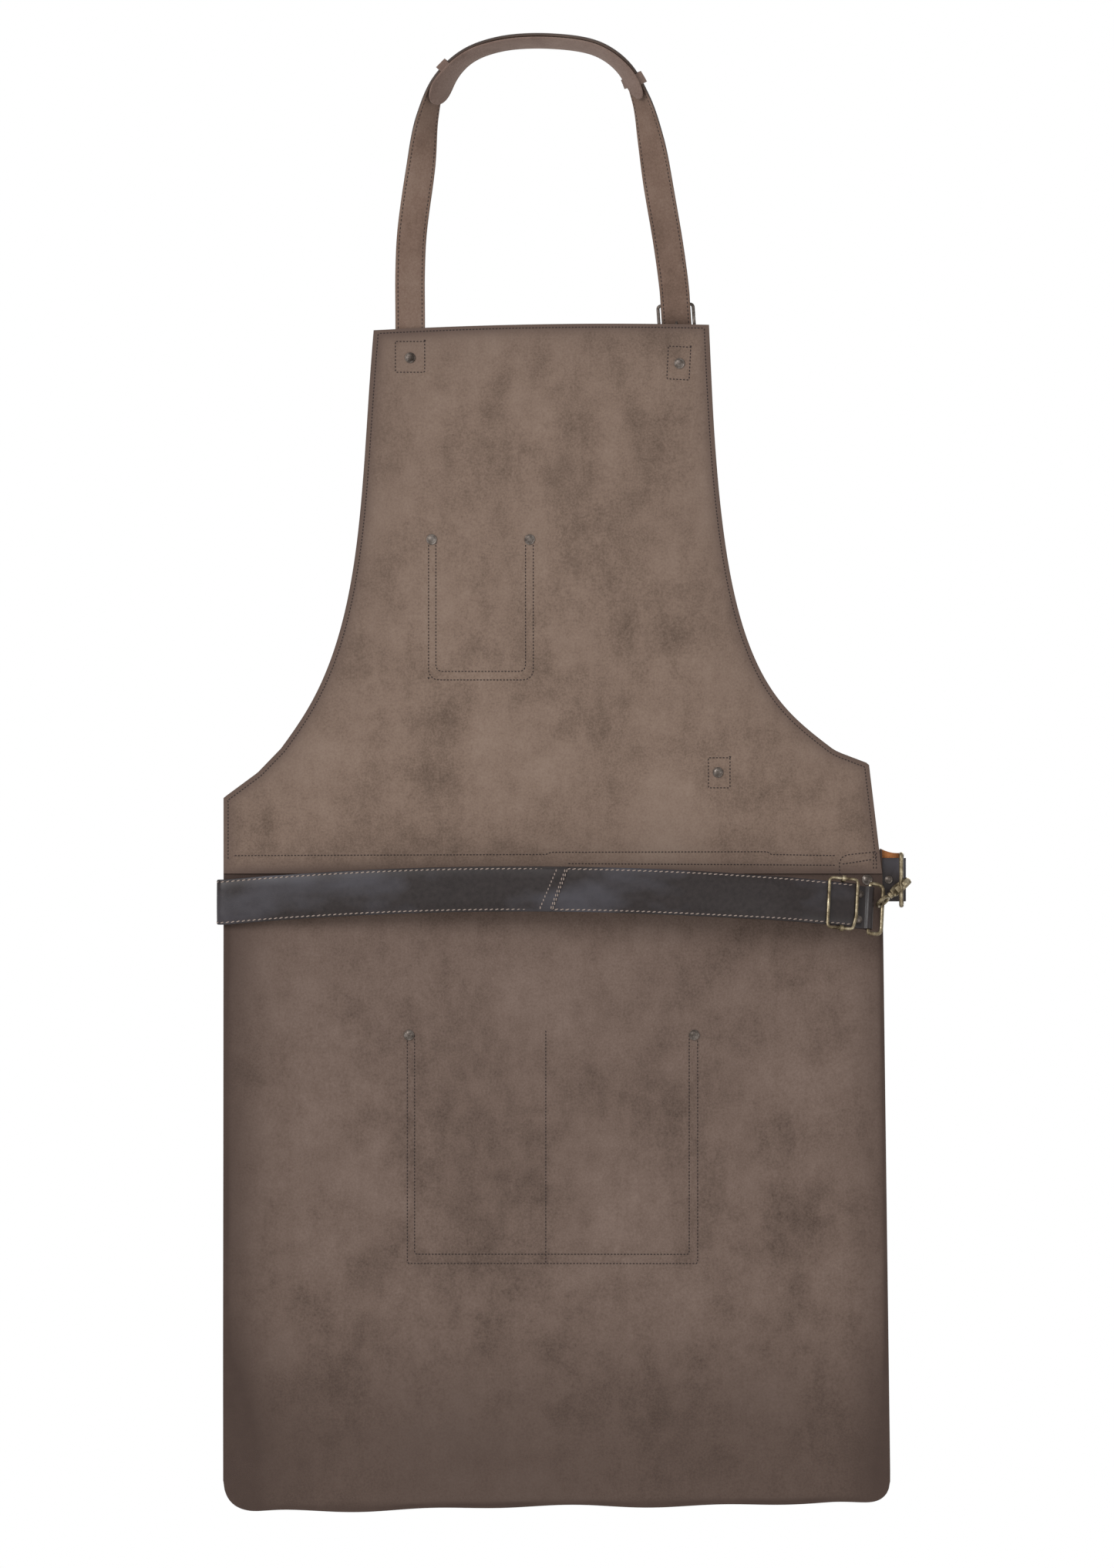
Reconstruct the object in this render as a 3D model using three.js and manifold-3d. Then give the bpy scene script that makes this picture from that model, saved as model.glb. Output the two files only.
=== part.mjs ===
// A leather welding apron, hanging by its neck strap with its waist belt clipped at the side.
// Millimetres. X runs across the wearer, +Y faces away from the wearer, +Z is up.
// The origin is the inside top of the neck loop, where a hook or a neck carries the apron.
import * as THREE from 'three';
import { mergeVertices } from 'three/addons/utils/BufferGeometryUtils.js';
import Module from 'manifold-3d';

// Leather thicknesses, and the air left between leather that lies on leather
const panelLeather = 1.6;
const strapLeather = 2.8;
const beltLeather = 3;
const tabLeather = 1.6;
const padThickness = 6;
const layGap = 0.3;

// Bib panel
const loopDrop = 254;
const bibTopWidth = 304;
const bibTopShift = -9;
const bibTopTilt = 5;
const bibTopArch = 3;
const bibHeight = 496;
const waistWidth = 598;
const waistShift = 1.5;
const leftSideHeight = 69;
const rightSideHeight = 100;
const rightSideLean = 12;

// Skirt panel
const seamOverlap = 22;
const skirtHeight = 575;
const hemWidth = waistWidth + 8;
const hemShift = 5;
const hemTilt = 8;
const leftHemRadius = 31;
const rightHemRadius = 22;

// Pockets: a leather face stitched down along a margin, standing off the panel by the room inside
const pocketRoom = 5.2;
const pocketMargin = 10;
const bibPocketWidth = 102;
const bibPocketHeight = 138;
const bibPocketShift = -64;
const bibPocketDrop = 186;
const bibPocketRadius = 13;
const lowerPocketWidth = 272;
const lowerPocketHeight = 218;
const lowerPocketShift = 0.5;
const lowerPocketDrop = 140;
const lowerPocketRadius = 2;
const dividerShift = -5;

// Rivets
const rivetCapRadius = 4.8;
const smallCapRadius = 3.7;
const rivetCapHeight = 1.4;
const rivetShankRadius = 1.5;
const rivetClearance = 0.3;
const rivetEdge = 6.5;

// Neck strap, its pad and its keepers
const strapWidth = 27;
const strapSpread = 245;
const strapFoot = 42;
const strapTurn = 72;
const strapLean = 4;
const tongueLength = 137;
const padWidth = 44;
const padStart = 245;
const padLength = 268;
const keeperLength = 10;
const keeperWall = 1.4;
const keeperGap = 0.9;

// Neck buckle and the chape that holds it
const buckleWire = 1.5;
const buckleHeight = 24.6;
const buckleDrop = 4;
const prongRadius = 1.2;
const prongSlotLength = 15;
const chapeReach = 46;
const chapeRivet = 28.7;

// Waist belt
const beltWidth = 41;
const beltDrop = 9;
const beltSag = 12;
const beltCrown = -25;
const beltAnchor = 58;
const beltStandoff = 3.2;
const beltBulge = 30;
const beltEndTurn = 8;
const beltEndRoll = 15;
const beltEndStraight = 42;
const beltTail = 12;
const foldTrim = 1.5;
const spliceSlant = 0.36;

// Slider, end ring and snap hook at the belt's free end
const sliderInset = 37;
const sliderWire = 1.5;
const sliderWidth = 26;
const sliderRoom = 2.6;
const runningGap = 0.4;
const endRingReach = 26;
const endRingWire = 1.8;
const endRingDepth = 12.5;
const endRingLean = 10;
const endRivetSpacing = 24;
const hookEyeRadius = 6.2;
const hookEyeWire = 1.6;
const hookThickness = 6.5;
const hookRoomLength = 17;
const hookRoomWidth = 9;
const hookWall = 4;
const hookLift = 8;
const hookDrop = 6;
const hookSeat = 0.5;

// Side tab and ring, and the tool tab and ring
const sideTabReach = 56;
const sideTabPast = 18;
const sideRingWire = 1.9;
const sideRingDepth = 21;
const sideRingSwing = 3;
const toolTabWidth = 24;
const toolTabReach = 42;
const toolTabX = 151.5;
const toolTabRise = 110;
const toolRingWire = 1.5;
const toolRingDepth = 17;

// Places that follow from the sizes
const bibTopZ = -loopDrop;
const seamZ = bibTopZ - bibHeight;
const waistLeft = waistShift - waistWidth / 2;
const waistRight = waistShift + waistWidth / 2;
const bibBack = -panelLeather;
const skirtBack = layGap;
const skirtFront = skirtBack + panelLeather;
const hemZ = seamZ - skirtHeight;

// Leather and metal finishes
const suede = { color: 0x6b5d53, roughness: 0.95, metalness: 0 };
const darkSuede = { color: 0x5b4d46, roughness: 0.95, metalness: 0 };
const strapHide = { color: 0x77634f, roughness: 0.85, metalness: 0 };
const beltHide = { color: 0x352d2d, roughness: 0.5, metalness: 0 };
const agedBrass = { color: 0x9a8f72, roughness: 0.4, metalness: 1 };

const wasm = await Module();
wasm.setup();
const apron = new THREE.Group();

function addPiece(name, geometry, finish, parent = apron) {
  const mesh = new THREE.Mesh(geometry, new THREE.MeshStandardMaterial(finish));
  mesh.name = name;
  parent.add(mesh);
  return mesh;
}

// Joining and cutting closed shapes

function toSolid(geometry) {
  const bare = geometry.clone();
  bare.deleteAttribute('normal');
  bare.deleteAttribute('uv');
  const merged = mergeVertices(bare, 1e-4);
  const vertProperties = new Float32Array(merged.attributes.position.array);
  const triVerts = new Uint32Array(merged.index.array);
  return new wasm.Manifold(new wasm.Mesh({ numProp: 3, vertProperties, triVerts }));
}

function toGeometry(solid) {
  const mesh = solid.getMesh();
  const geometry = new THREE.BufferGeometry();
  geometry.setAttribute('position', new THREE.BufferAttribute(mesh.vertProperties, 3));
  geometry.setIndex(new THREE.BufferAttribute(mesh.triVerts, 1));
  return geometry;
}

function cut(geometry, ...tools) {
  return toGeometry(tools.reduce((solid, tool) => solid.subtract(toSolid(tool)), toSolid(geometry)));
}

function join(geometry, ...others) {
  return toGeometry(others.reduce((solid, other) => solid.add(toSolid(other)), toSolid(geometry)));
}

// Flat leather: a shape drawn across (x) and up (z), with its back face at y = back
function panel(shape, back, thickness) {
  const geometry = new THREE.ExtrudeGeometry(shape, {
    depth: thickness, bevelEnabled: false, curveSegments: 12,
  });
  return geometry.rotateX(Math.PI / 2).translate(0, back + thickness, 0);
}

function rivetHole(x, z) {
  return new THREE.Path().absarc(x, z, rivetShankRadius + rivetClearance, 0, 2 * Math.PI, true);
}

function rivetDrill(x, z, depth = 60) {
  const drill = new THREE.CylinderGeometry(
    rivetShankRadius + rivetClearance, rivetShankRadius + rivetClearance, depth, 12);
  return drill.translate(x, 0, z);
}

// A rivet set through leather from y = back to y = front, a low domed cap on each side
function rivet(back, front, capRadius) {
  const low = back - layGap;
  const high = front + layGap;
  const profile = [
    [0, low - rivetCapHeight], [0.65 * capRadius, low - 0.8 * rivetCapHeight],
    [capRadius, low - 0.2 * rivetCapHeight], [0.95 * capRadius, low],
    [rivetShankRadius, low], [rivetShankRadius, high], [0.95 * capRadius, high],
    [capRadius, high + 0.2 * rivetCapHeight],
    [0.65 * capRadius, high + 0.8 * rivetCapHeight], [0, high + rivetCapHeight],
  ];
  return new THREE.LatheGeometry(profile.map(([r, y]) => new THREE.Vector2(r, y)), 12);
}

function addRivet(name, x, z, back, front, capRadius = rivetCapRadius, parent = apron) {
  const piece = addPiece(name, rivet(back, front, capRadius), agedBrass, parent);
  piece.position.set(x, 0, z);
  return piece;
}

// Closed wire following an outline drawn counter-clockwise in the x, y plane
function wireLoop(outline, wireRadius, steps = 32, sides = 8) {
  const torus = new THREE.TorusGeometry(10 * wireRadius, wireRadius, sides, steps);
  const position = torus.attributes.position;
  for (let i = 0; i < position.count; i++) {
    const x = position.getX(i);
    const y = position.getY(i);
    const turn = (Math.atan2(y, x) / (2 * Math.PI) + 1) % 1;
    const offset = Math.hypot(x, y) - 10 * wireRadius;
    const point = outline.getPointAt(turn);
    const tangent = outline.getTangentAt(turn);
    position.setXY(i, point.x + offset * tangent.y, point.y - offset * tangent.x);
  }
  return torus;
}

// Rounded rectangle, counter-clockwise, from the middle of its right side
function roundedOutline(width, height, radius) {
  const x = width / 2;
  const y = height / 2;
  const shape = new THREE.Shape().moveTo(x, 0).lineTo(x, y - radius);
  shape.absarc(x - radius, y - radius, radius, 0, Math.PI / 2);
  shape.lineTo(radius - x, y).absarc(radius - x, y - radius, radius, Math.PI / 2, Math.PI);
  shape.lineTo(-x, radius - y).absarc(radius - x, radius - y, radius, Math.PI, 1.5 * Math.PI);
  shape.lineTo(x - radius, -y).absarc(x - radius, radius - y, radius, 1.5 * Math.PI, 2 * Math.PI);
  return shape.lineTo(x, 0);
}

// D outline with its straight bar along y at x = 0 and its bow reaching to x = depth
function ringOutline(height, depth) {
  const y = height / 2;
  const corner = 3;
  const bow = depth * 0.72;
  const shape = new THREE.Shape().moveTo(depth, 0);
  shape.bezierCurveTo(depth, 0.62 * y, depth - 0.35 * bow, y, depth - bow, y);
  shape.lineTo(corner, y).absarc(corner, y - corner, corner, Math.PI / 2, Math.PI);
  shape.lineTo(0, corner - y).absarc(corner, corner - y, corner, Math.PI, 1.5 * Math.PI);
  shape.lineTo(depth - bow, -y);
  return shape.bezierCurveTo(depth - 0.35 * bow, -y, depth, -0.62 * y, depth, 0);
}

// Leather folded round a bar. The fold is at x = 0 and the leather runs back to x = -reach.
// Its near face lies on y = 0, its width runs along z, and the bar's axis is at y = foldRadius.
function foldRadius(barRadius) {
  return barRadius + layGap + tabLeather;
}

function foldedTab(reach, width, barRadius) {
  const radius = foldRadius(barRadius);
  const thickness = 2 * tabLeather + layGap;
  const shape = new THREE.Shape().moveTo(-reach, 0).lineTo(0, 0);
  shape.absarc(0, radius, radius, -Math.PI / 2, 0.6 * Math.PI);
  shape.quadraticCurveTo(-1.4 * radius, thickness, -2 * radius, thickness);
  shape.lineTo(-reach, thickness).lineTo(-reach, 0);
  shape.holes.push(new THREE.Path().absarc(0, radius, barRadius + layGap, 0, 2 * Math.PI, true));
  const geometry = new THREE.ExtrudeGeometry(shape, {
    depth: width, bevelEnabled: false, curveSegments: 10,
  });
  return geometry.translate(0, 0, -width / 2);
}

// Bands: flat strips bent along a curve. A strip is made with x along it, y across it
// and z out of its marked face, then every point is carried to the curve.
function smoothstep(x) {
  const t = Math.min(1, Math.max(0, x));
  return t * t * (3 - 2 * t);
}

function makeBand(points, faceAt, turnAt) {
  const curve = new THREE.CatmullRomCurve3(points, false, 'centripetal');
  curve.arcLengthDivisions = 800;
  return { curve, length: curve.getLength(), faceAt, turnAt };
}

function bandAxes(band, x) {
  const at = Math.min(1, Math.max(0, x / band.length));
  const origin = band.curve.getPointAt(at);
  const along = band.curve.getTangentAt(at);
  const flat = band.faceAt(along);
  flat.addScaledVector(along, -flat.dot(along)).normalize();
  const level = new THREE.Vector3().crossVectors(flat, along);
  const turn = band.turnAt(origin);
  const face = flat.clone().multiplyScalar(Math.cos(turn)).addScaledVector(level, -Math.sin(turn));
  const across = new THREE.Vector3().crossVectors(face, along);
  return { origin, along, across, face };
}

function bend(geometry, band) {
  const position = geometry.attributes.position;
  for (let i = 0; i < position.count; i++) {
    const axes = bandAxes(band, position.getX(i));
    const point = axes.origin.addScaledVector(axes.across, position.getY(i));
    point.addScaledVector(axes.face, position.getZ(i));
    position.setXYZ(i, point.x, point.y, point.z);
  }
  return geometry;
}

function spread(from, to, count) {
  return Array.from({ length: count + 1 }, (_, i) => from + (to - from) * i / count);
}

// A strip with a row of corners at each station, its width and end slants given by functions
function strip(stations, thickness, widthAt, slantAt = () => 0) {
  const steps = stations.length - 1;
  const box = new THREE.BoxGeometry(steps, 1, thickness, steps, 1, 1);
  const position = box.attributes.position;
  for (let i = 0; i < position.count; i++) {
    const x = stations[Math.round(position.getX(i) + steps / 2)];
    const y = position.getY(i) * widthAt(x);
    position.setXY(i, x + y * slantAt(x), y);
  }
  return box;
}

// Bib and skirt

const bibLeft = new THREE.Vector2(bibTopShift - bibTopWidth / 2, bibTopZ - bibTopTilt / 2);
const bibRight = new THREE.Vector2(bibTopShift + bibTopWidth / 2, bibTopZ + bibTopTilt / 2);
const leftRivet = new THREE.Vector2(bibTopShift - strapSpread / 2 + 3.5, bibTopZ - 27.5);
const chapeX = bibTopShift + strapSpread / 2 + 1;
const chapeZ = bibTopZ - buckleDrop;
const lean = THREE.MathUtils.degToRad(strapLean);
const rightRivet = new THREE.Vector2(
  chapeX + chapeRivet * Math.sin(lean), chapeZ - chapeRivet * Math.cos(lean));

const bibPocketTop = bibTopZ - bibPocketDrop;
const bibRivetZ = bibPocketTop - rivetEdge;
const bibRivetReach = bibPocketWidth / 2 - rivetEdge;
const lowerPocketTop = seamZ - lowerPocketDrop;
const lowerRivetZ = lowerPocketTop - rivetEdge;
const lowerRivetReach = lowerPocketWidth / 2 - rivetEdge;
const toolBarZ = seamZ + toolTabRise - toolTabReach;
const toolRivetZ = seamZ + toolTabRise - 18;

function bibShape() {
  const leftShoulder = new THREE.Vector2(waistLeft, seamZ + leftSideHeight);
  const rightShoulder = new THREE.Vector2(waistRight - rightSideLean, seamZ + rightSideHeight);
  const leftRun = bibLeft.x - leftShoulder.x;
  const leftFall = bibLeft.y - leftShoulder.y;
  const rightRun = rightShoulder.x - bibRight.x;
  const rightFall = bibRight.y - rightShoulder.y;
  const shape = new THREE.Shape().moveTo(bibLeft.x, bibLeft.y);
  shape.bezierCurveTo(
    bibLeft.x - 0.12 * leftRun, bibLeft.y - 0.4 * leftFall,
    leftShoulder.x + leftRun, leftShoulder.y + 0.2 * leftFall,
    leftShoulder.x, leftShoulder.y);
  shape.lineTo(waistLeft, seamZ).lineTo(waistRight, seamZ);
  shape.lineTo(rightShoulder.x, rightShoulder.y);
  shape.bezierCurveTo(
    rightShoulder.x - 0.84 * rightRun, rightShoulder.y + 0.09 * rightFall,
    bibRight.x + 0.07 * rightRun, bibRight.y - 0.6 * rightFall,
    bibRight.x, bibRight.y);
  const middleZ = (bibLeft.y + bibRight.y) / 2 + 2 * bibTopArch;
  return shape.quadraticCurveTo(bibTopShift, middleZ, bibLeft.x, bibLeft.y);
}

function skirtShape() {
  const left = hemShift - hemWidth / 2;
  const right = hemShift + hemWidth / 2;
  const leftHem = hemZ - hemTilt / 2;
  const rightHem = hemZ + hemTilt / 2;
  const shape = new THREE.Shape().moveTo(waistLeft, seamZ + seamOverlap);
  shape.lineTo(left, leftHem + leftHemRadius);
  shape.quadraticCurveTo(left, leftHem, left + leftHemRadius, leftHem);
  shape.lineTo(right - rightHemRadius, rightHem);
  shape.quadraticCurveTo(right, rightHem, right, rightHem + rightHemRadius);
  shape.lineTo(waistRight, seamZ + seamOverlap);
  return shape.lineTo(waistLeft, seamZ + seamOverlap);
}

function addPanels(sideTabHole, beltHole) {
  const bib = bibShape();
  bib.holes.push(
    rivetHole(leftRivet.x, leftRivet.y), rivetHole(rightRivet.x, rightRivet.y),
    rivetHole(bibPocketShift - bibRivetReach, bibRivetZ),
    rivetHole(bibPocketShift + bibRivetReach, bibRivetZ),
    rivetHole(toolTabX, toolRivetZ));
  addPiece('bib_panel', panel(bib, bibBack, panelLeather), suede);
  const skirt = skirtShape();
  skirt.holes.push(
    rivetHole(lowerPocketShift - lowerRivetReach, lowerRivetZ),
    rivetHole(lowerPocketShift + lowerRivetReach, lowerRivetZ),
    rivetHole(sideTabHole.x, sideTabHole.y), rivetHole(beltHole.x, beltHole.y));
  addPiece('skirt_panel', panel(skirt, skirtBack, panelLeather), darkSuede);
}

// Pockets

function pocketOutline(x, top, width, height, radius) {
  const left = x - width / 2;
  const right = x + width / 2;
  const bottom = top - height;
  const shape = new THREE.Shape().moveTo(left, top).lineTo(left, bottom + radius);
  shape.absarc(left + radius, bottom + radius, radius, Math.PI, 1.5 * Math.PI);
  shape.lineTo(right - radius, bottom);
  shape.absarc(right - radius, bottom + radius, radius, 1.5 * Math.PI, 2 * Math.PI);
  return shape.lineTo(right, top).lineTo(left, top);
}

function pocket(x, top, width, height, radius, back, compartments) {
  const outer = pocketOutline(x, top, width, height, radius);
  for (const side of [-1, 1]) {
    outer.holes.push(rivetHole(x + side * (width / 2 - rivetEdge), top - rivetEdge));
  }
  const body = panel(outer, back, pocketRoom + panelLeather);
  const innerHeight = height - pocketMargin;
  const rooms = compartments.map(([left, right]) => {
    const room = pocketOutline((left + right) / 2, top + 1, right - left, innerHeight + 1, 3);
    return panel(room, back - 1, pocketRoom + 1);
  });
  return cut(body, ...rooms);
}

function addPockets() {
  const bibLeftWall = bibPocketShift - bibPocketWidth / 2 + pocketMargin;
  const bibRightWall = bibPocketShift + bibPocketWidth / 2 - pocketMargin;
  addPiece('bib_pocket', pocket(
    bibPocketShift, bibPocketTop, bibPocketWidth, bibPocketHeight, bibPocketRadius,
    layGap, [[bibLeftWall, bibRightWall]]), suede);
  const lowerLeftWall = lowerPocketShift - lowerPocketWidth / 2 + pocketMargin;
  const lowerRightWall = lowerPocketShift + lowerPocketWidth / 2 - pocketMargin;
  addPiece('lower_pocket', pocket(
    lowerPocketShift, lowerPocketTop, lowerPocketWidth, lowerPocketHeight, lowerPocketRadius,
    skirtFront + layGap, [
      [lowerLeftWall, dividerShift - pocketMargin / 2],
      [dividerShift + pocketMargin / 2, lowerRightWall],
    ]), darkSuede);
  const bibFace = layGap + pocketRoom + panelLeather;
  const lowerFace = skirtFront + bibFace;
  for (const [side, name] of [[-1, 'left'], [1, 'right']]) {
    addRivet(`bib_pocket_rivet_${name}`,
      bibPocketShift + side * bibRivetReach, bibRivetZ, bibBack, bibFace);
    addRivet(`lower_pocket_rivet_${name}`,
      lowerPocketShift + side * lowerRivetReach, lowerRivetZ, skirtBack, lowerFace);
  }
}

// Neck loop: the strap rises from the bib's front, goes over the top edge-up with its inner
// face to the neck, comes down behind the buckle's outer bar and out over its hinge bar.

const strapY = layGap + strapLeather / 2;
const hingeY = layGap + foldRadius(buckleWire);
const chapeFace = hingeY + foldRadius(buckleWire);
const overHingeY = chapeFace + 2 * layGap + strapLeather / 2;
const behindBarY = hingeY - buckleWire - 0.5 - strapLeather / 2;

function neckCurvePoints() {
  const leftX = leftRivet.x;
  const half = (chapeX - leftX) / 2;
  const middle = (chapeX + leftX) / 2;
  // Across as a share of half the spread, depth towards the wearer, and rise as a share
  // of the loop's drop, from the left leg over the top to the right leg
  const loop = [
    [-1.0, 3, -0.8], [-0.985, 7, -0.66], [-0.92, 12, -0.43], [-0.87, 17, -0.25],
    [-0.78, 21, -0.125], [-0.6, 24, -0.036], [-0.34, 25, 0.012], [0.05, 25, 0.0235],
    [0.41, 24, -0.005], [0.61, 22, -0.075], [0.73, 18, -0.19], [0.8, 13, -0.33],
    [0.86, 8, -0.5], [0.935, 3, -0.71],
  ];
  const rise = loop.map(([across, back, up]) =>
    new THREE.Vector3(middle + across * half, -back, up * loopDrop));
  return [
    new THREE.Vector3(leftX, strapY, bibLeft.y - strapFoot),
    new THREE.Vector3(leftX, strapY, bibLeft.y + 7),
    ...rise,
    ...[
      [behindBarY - 1, buckleHeight + 14], [behindBarY, buckleHeight],
      [overHingeY - 0.1, 2], [overHingeY + 0.2, -6], [overHingeY, -tongueLength],
    ].map(([y, up]) =>
      new THREE.Vector3(chapeX - up * Math.sin(lean), y, chapeZ + up * Math.cos(lean))),
  ];
}

function faceTheWearer() {
  return new THREE.Vector3(0, -1, 0);
}

function strapTurnAt(origin) {
  const rise = 1 + origin.z / (0.6 * loopDrop);
  return THREE.MathUtils.degToRad(strapTurn) * smoothstep(rise);
}

function addNeckLoop() {
  const band = makeBand(neckCurvePoints(), faceTheWearer, strapTurnAt);
  const buckleAt = band.length - tongueLength - buckleHeight - 20;
  const stations = [
    ...spread(0, 60, 4), ...spread(60, buckleAt, 62).slice(1),
    ...spread(buckleAt, buckleAt + 60, 20).slice(1), ...spread(buckleAt + 60, band.length, 6).slice(1),
  ];
  const strap = bend(strip(stations, strapLeather, () => strapWidth), band);
  const slot = new THREE.BoxGeometry(2 * prongRadius + 1.6, 24, prongSlotLength);
  slot.translate(0, 0, 3.6 + prongSlotLength / 2).rotateY(-lean).translate(chapeX, hingeY, chapeZ);
  const holed = cut(strap, slot, rivetDrill(leftRivet.x, leftRivet.y));
  addPiece('neck_strap', holed, strapHide);
  addRivet('strap_rivet_left', leftRivet.x, leftRivet.y, bibBack, layGap + strapLeather);

  // Pad on the strap's inner face, held by two keepers that the strap runs through
  const keeperOuter = strapLeather / 2 + keeperGap + keeperWall;
  const padLift = keeperOuter + 2 * layGap + padThickness / 2;
  const padEnd = padStart + padLength;
  const padWidthAt = (x) => {
    const fromEnd = Math.min(x - padStart, padEnd - x) / 24;
    return padWidth * Math.sqrt(1 - 0.7 * (1 - Math.min(1, fromEnd)) ** 2);
  };
  const padStations = [
    ...spread(padStart, padStart + 24, 5), ...spread(padStart + 24, padEnd - 24, 24).slice(1),
    ...spread(padEnd - 24, padEnd, 5).slice(1),
  ];
  const pad = strip(padStations, padThickness, padWidthAt).translate(0, 0, padLift);
  addPiece('neck_pad', bend(pad, band), strapHide);
  for (const [name, at] of [['left', padStart + 40], ['right', padEnd - 40]]) {
    addPiece(`pad_keeper_${name}`, bend(keeperBand(at), band), strapHide);
  }
}

// A flat leather loop round a strap, centred on x = at
function keeperBand(at) {
  const inner = strapWidth / 2 + keeperGap;
  const outer = inner + keeperWall;
  const lowRoom = strapLeather / 2 + keeperGap;
  const shape = new THREE.Shape().moveTo(-outer, -lowRoom - keeperWall);
  shape.lineTo(outer, -lowRoom - keeperWall).lineTo(outer, lowRoom + keeperWall);
  shape.lineTo(-outer, lowRoom + keeperWall).lineTo(-outer, -lowRoom - keeperWall);
  const room = new THREE.Path().moveTo(-inner, -lowRoom).lineTo(-inner, lowRoom);
  shape.holes.push(room.lineTo(inner, lowRoom).lineTo(inner, -lowRoom).lineTo(-inner, -lowRoom));
  const geometry = new THREE.ExtrudeGeometry(shape, {
    depth: keeperLength, bevelEnabled: false, steps: 2,
  });
  // The section's x and y become the strap's width and thickness, and its depth the length
  geometry.rotateX(Math.PI / 2).rotateZ(Math.PI / 2);
  return geometry.translate(at - keeperLength / 2, 0, 0);
}

// Buckle, chape and keeper

function addBuckle() {
  const buckle = new THREE.Group();
  buckle.position.set(chapeX, 0, chapeZ);
  buckle.rotation.y = -lean;
  apron.add(buckle);
  const chape = foldedTab(chapeReach, strapWidth, buckleWire);
  const radius = foldRadius(buckleWire);
  const prongRoom = new THREE.BoxGeometry(2 * radius + 4, 2 * radius + 2, 5.4);
  prongRoom.translate(0, radius, 0);
  const drill = rivetDrill(-chapeRivet, 0);
  const chapePiece = addPiece('buckle_chape', cut(chape, prongRoom, drill), strapHide, buckle);
  chapePiece.rotation.y = -Math.PI / 2;
  chapePiece.position.y = layGap;
  const chapeFront = 2 * (layGap + tabLeather);
  addRivet('strap_rivet_right', 0, -chapeRivet, bibBack, chapeFront, rivetCapRadius, buckle);

  const innerWidth = strapWidth + 2;
  const outline = roundedOutline(innerWidth + 2 * buckleWire, buckleHeight, 2);
  const frame = addPiece('neck_buckle_frame', wireLoop(outline, buckleWire), agedBrass, buckle);
  frame.rotation.x = Math.PI / 2;
  frame.position.set(0, hingeY, buckleHeight / 2);

  // The prong's eye turns on the hinge bar, and its tip rests on the outer bar's front
  const bore = buckleWire + 0.25;
  const eyeOuter = bore + 1.3;
  const eye = new THREE.LatheGeometry(
    [[bore, -2], [eyeOuter, -2], [eyeOuter, 2], [bore, 2], [bore, -2]]
      .map(([r, y]) => new THREE.Vector2(r, y)), 20).rotateZ(Math.PI / 2);
  const tipLift = buckleWire + layGap + prongRadius;
  const stemStart = new THREE.Vector3(0, 0.5 * eyeOuter, 0.8 * eyeOuter);
  const stemEnd = new THREE.Vector3(0, tipLift, buckleHeight + 2);
  const stem = new THREE.ExtrudeGeometry(
    new THREE.Shape().absarc(0, 0, prongRadius, 0, 2 * Math.PI),
    { steps: 1, bevelEnabled: false, curveSegments: 5,
      extrudePath: new THREE.LineCurve3(stemStart, stemEnd) });
  const prong = addPiece('neck_buckle_prong', join(eye, stem), agedBrass, buckle);
  prong.position.y = hingeY;

  const shape = new THREE.Shape();
  const half = strapWidth / 2 + 2 * layGap;
  const top = overHingeY + strapLeather / 2 + 2 * layGap;
  const low = chapeFront + layGap;
  shape.moveTo(-half - keeperWall, low).lineTo(half + keeperWall, low);
  shape.lineTo(half + keeperWall, top + keeperWall).lineTo(-half - keeperWall, top + keeperWall);
  shape.lineTo(-half - keeperWall, low);
  const room = new THREE.Path().moveTo(-half, low + keeperWall).lineTo(-half, top);
  shape.holes.push(room.lineTo(half, top).lineTo(half, low + keeperWall)
    .lineTo(-half, low + keeperWall));
  const keeper = new THREE.ExtrudeGeometry(shape, { depth: keeperLength, bevelEnabled: false });
  const keeperPiece = addPiece('buckle_keeper', keeper, strapHide, buckle);
  keeperPiece.position.z = -22;
}

// Waist belt: fixed on the skirt's front, round the left edge and across the wearer's side

const beltBackY = bibBack - beltStandoff;
const beltFrontY = skirtFront + layGap + beltLeather / 2;
const wrapRadius = (beltFrontY - beltBackY) / 2;
const sliderX = waistRight - sliderInset;

function beltZ(x) {
  const share = (x - beltCrown) / ((waistRight - waistLeft) / 2 - 30);
  return seamZ - beltDrop - 4.5 - beltSag * share * share;
}

function beltPoint(x, y) {
  return new THREE.Vector3(x, y, beltZ(x));
}

const beltEndSlope = Math.tan(THREE.MathUtils.degToRad(beltEndTurn));

function beltCurvePoints() {
  const wrapX = waistLeft - 0.3;
  const wrapY = (beltFrontY + beltBackY) / 2;
  const wrap = spread(90, 270, 6).map((degrees) => {
    const angle = THREE.MathUtils.degToRad(degrees);
    return new THREE.Vector3(
      wrapX + wrapRadius * Math.cos(angle), wrapY + wrapRadius * Math.sin(angle), beltZ(wrapX));
  });
  const run = sliderX - beltEndStraight - waistLeft;
  const bulgeY = -beltBulge - beltEndSlope * beltEndStraight;
  const back = [0.08, 0.25, 0.42, 0.6, 0.76, 0.9].map((share) => {
    const y = beltBackY + (bulgeY - beltBackY) * (1.06 * Math.sin(share * Math.PI / 2) - 0.06 * share);
    return beltPoint(waistLeft + share * run, y);
  });
  const end = beltZ(sliderX);
  const fall = (beltZ(sliderX + 1) - beltZ(sliderX - 1)) / 2;
  const straight = [-beltEndStraight, -20, 0, beltTail].map((x) =>
    new THREE.Vector3(sliderX + x, -beltBulge + beltEndSlope * x, end + fall * x));
  return [
    new THREE.Vector3(waistLeft + beltAnchor, beltFrontY, beltZ(wrapX)),
    new THREE.Vector3(waistLeft + 0.5 * beltAnchor, beltFrontY, beltZ(wrapX)),
    ...wrap, ...back, ...straight,
  ];
}

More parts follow.
